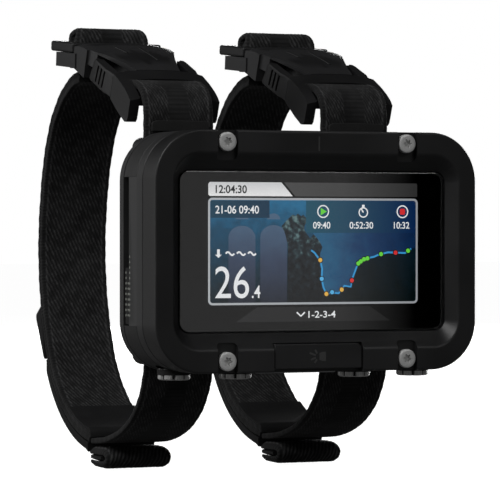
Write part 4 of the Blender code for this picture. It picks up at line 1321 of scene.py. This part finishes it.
def make_buckles():
    for side, sign in STRAP_SIDES:
        for make in (make_front_half, make_arms, make_rear_half, make_ladder):
            make(side, sign * STRAP_X)


# ---------------------------------------------------------------- carried-over CAD nodes

def dress_cad():
    """Give the inner CAD nodes that stay their own finishes."""
    looks = {
        "lens_gasket": SEAL, "back_gasket": SEAL, "display_panel": MASK, "circuit_board": BOARD,
        "battery": CELL, "pressure_sensor": STEEL, "vibration_motor": STEEL, "light_board": BOARD,
        "charging_contacts": STEEL, **{f"button_seal_{i}": SEAL for i in range(1, 5)},
    }
    for name, look in looks.items():
        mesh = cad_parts[name].data
        mesh.materials.clear()
        mesh.materials.append(look)


# ---------------------------------------------------------------- camera, light and floor

# Place, target, width, height and power
LIGHTS = {
    "key": ((-0.75, -0.35, 0.75), (0, 0, 0), 0.7, 0.7, 7.0),
    "side": ((-0.9, 0.75, 0.1), (0, 0.03, 0), 0.9, 1.1, 2.6),
    "fill": ((0.5, -1.1, 0.9), (0, 0, 0), 0.6, 0.6, 1.6),
    "back_right": ((1.15, 0.85, 0.1), (0, 0.03, 0), 0.9, 0.5, 16.0),
    "back": ((0.5, 1.35, 0.12), (0, 0.03, 0), 0.7, 0.5, 14.0),
}


def aim(thing, place, target):
    thing.location = place
    thing.rotation_mode = "QUATERNION"
    thing.rotation_quaternion = (Vector(target) - Vector(place)).to_track_quat("-Z", "Y")


def make_camera():
    data = bpy.data.cameras.new("camera")
    data.lens = 223.9
    data.sensor_width = 36.0
    camera = new_object("camera", data)
    aim(camera, (-0.3678, -0.8229, 0.0050), (-0.0194, -0.0245, 0.0004))
    bpy.context.scene.camera = camera


def make_lights():
    """Rectangular soft lights that the camera doesn't see."""
    for name, (place, target, width, height, power) in LIGHTS.items():
        data = bpy.data.lights.new(name, "AREA")
        data.shape = "RECTANGLE"
        data.size, data.size_y = width, height
        data.energy = power
        light = new_object(name, data)
        aim(light, place, target)
        light.visible_camera = False


def by_ray(tree, seen, other):
    """One shader for camera rays and another for the rest."""
    path = add(tree, "ShaderNodeLightPath")
    blend = add(tree, "ShaderNodeMixShader")
    sources = (path.outputs["Is Camera Ray"], other.outputs[0], seen.outputs[0])
    for source, socket in zip(sources, blend.inputs):
        tree.links.new(source, socket)
    return blend.outputs[0]


def make_world():
    """White to the camera, and nearly dark to the object."""
    world = bpy.data.worlds.new("surround")
    bpy.context.scene.world = world
    world.use_nodes = True
    tree = world.node_tree
    tree.nodes.clear()
    output = add(tree, "ShaderNodeOutputWorld")
    white = (1.0, 1.0, 1.0, 1.0)
    seen, ambient = [add(tree, "ShaderNodeBackground", color=white, strength=s) for s in (1.0, 0.02)]
    tree.links.new(by_ray(tree, seen, ambient), output.inputs["Surface"])


def make_floor():
    """Pale floor just under the object."""
    look, tree, shader = new_look("floor_white", (0.06, 0.06, 0.06), 0.9)
    seen, other = [add(tree, "ShaderNodeEmission", strength=s) for s in (0.98, 0.03)]
    glow = add(tree, "ShaderNodeAddShader")
    tree.links.new(shader.outputs[0], glow.inputs[0])
    tree.links.new(by_ray(tree, seen, other), glow.inputs[1])
    tree.links.new(glow.outputs[0], tree.nodes["Material Output"].inputs["Surface"])
    level, size = cad_low.z - 0.4 * MM, 6.0
    corners = [(x * size, y * size, level) for x, y in ((-1, -1), (1, -1), (1, 1), (-1, 1))]
    new_piece("floor", corners, [(0, 1, 2, 3)], look)


def make_card():
    """A pale card in front for the glass to reflect, which fades out at its right end."""
    look = bpy.data.materials.new("card_fade")
    look.use_nodes = True
    tree = look.node_tree
    tree.nodes.clear()
    output = add(tree, "ShaderNodeOutputMaterial")
    glow = add(tree, "ShaderNodeEmission", strength=1.0)
    fade = remap(tree, across_object(tree, "X")[1], 0.47, 0.52, 0.0, 1.0)
    stops = [(position, (tone, tone, tone)) for position, tone in ((0.0, 0.18), (0.5, 0.085), (1.0, 0.0))]
    tree.links.new(ramp(tree, fade, stops), glow.inputs["Color"])
    tree.links.new(glow.outputs[0], output.inputs["Surface"])
    left, right, y, half_h = -0.2, 0.6, -1.0, 0.4
    corners = [(left, y, -half_h), (right, y, -half_h), (right, y, half_h), (left, y, half_h)]
    card = new_piece("card", corners, [(0, 1, 2, 3)], look)
    card.visible_camera = False
    card.visible_shadow = False


bpy.context.scene.view_settings.view_transform = "Standard"
for make in (
    make_camera, make_world, make_floor, make_card, make_lights,
    make_front_frame, make_panel, make_lens, make_shell, make_band, make_vent_plate, make_back, make_screws,
    make_light_bar, make_buttons, make_screen, make_bridges, make_straps, make_buckles, dress_cad,
):
    make()
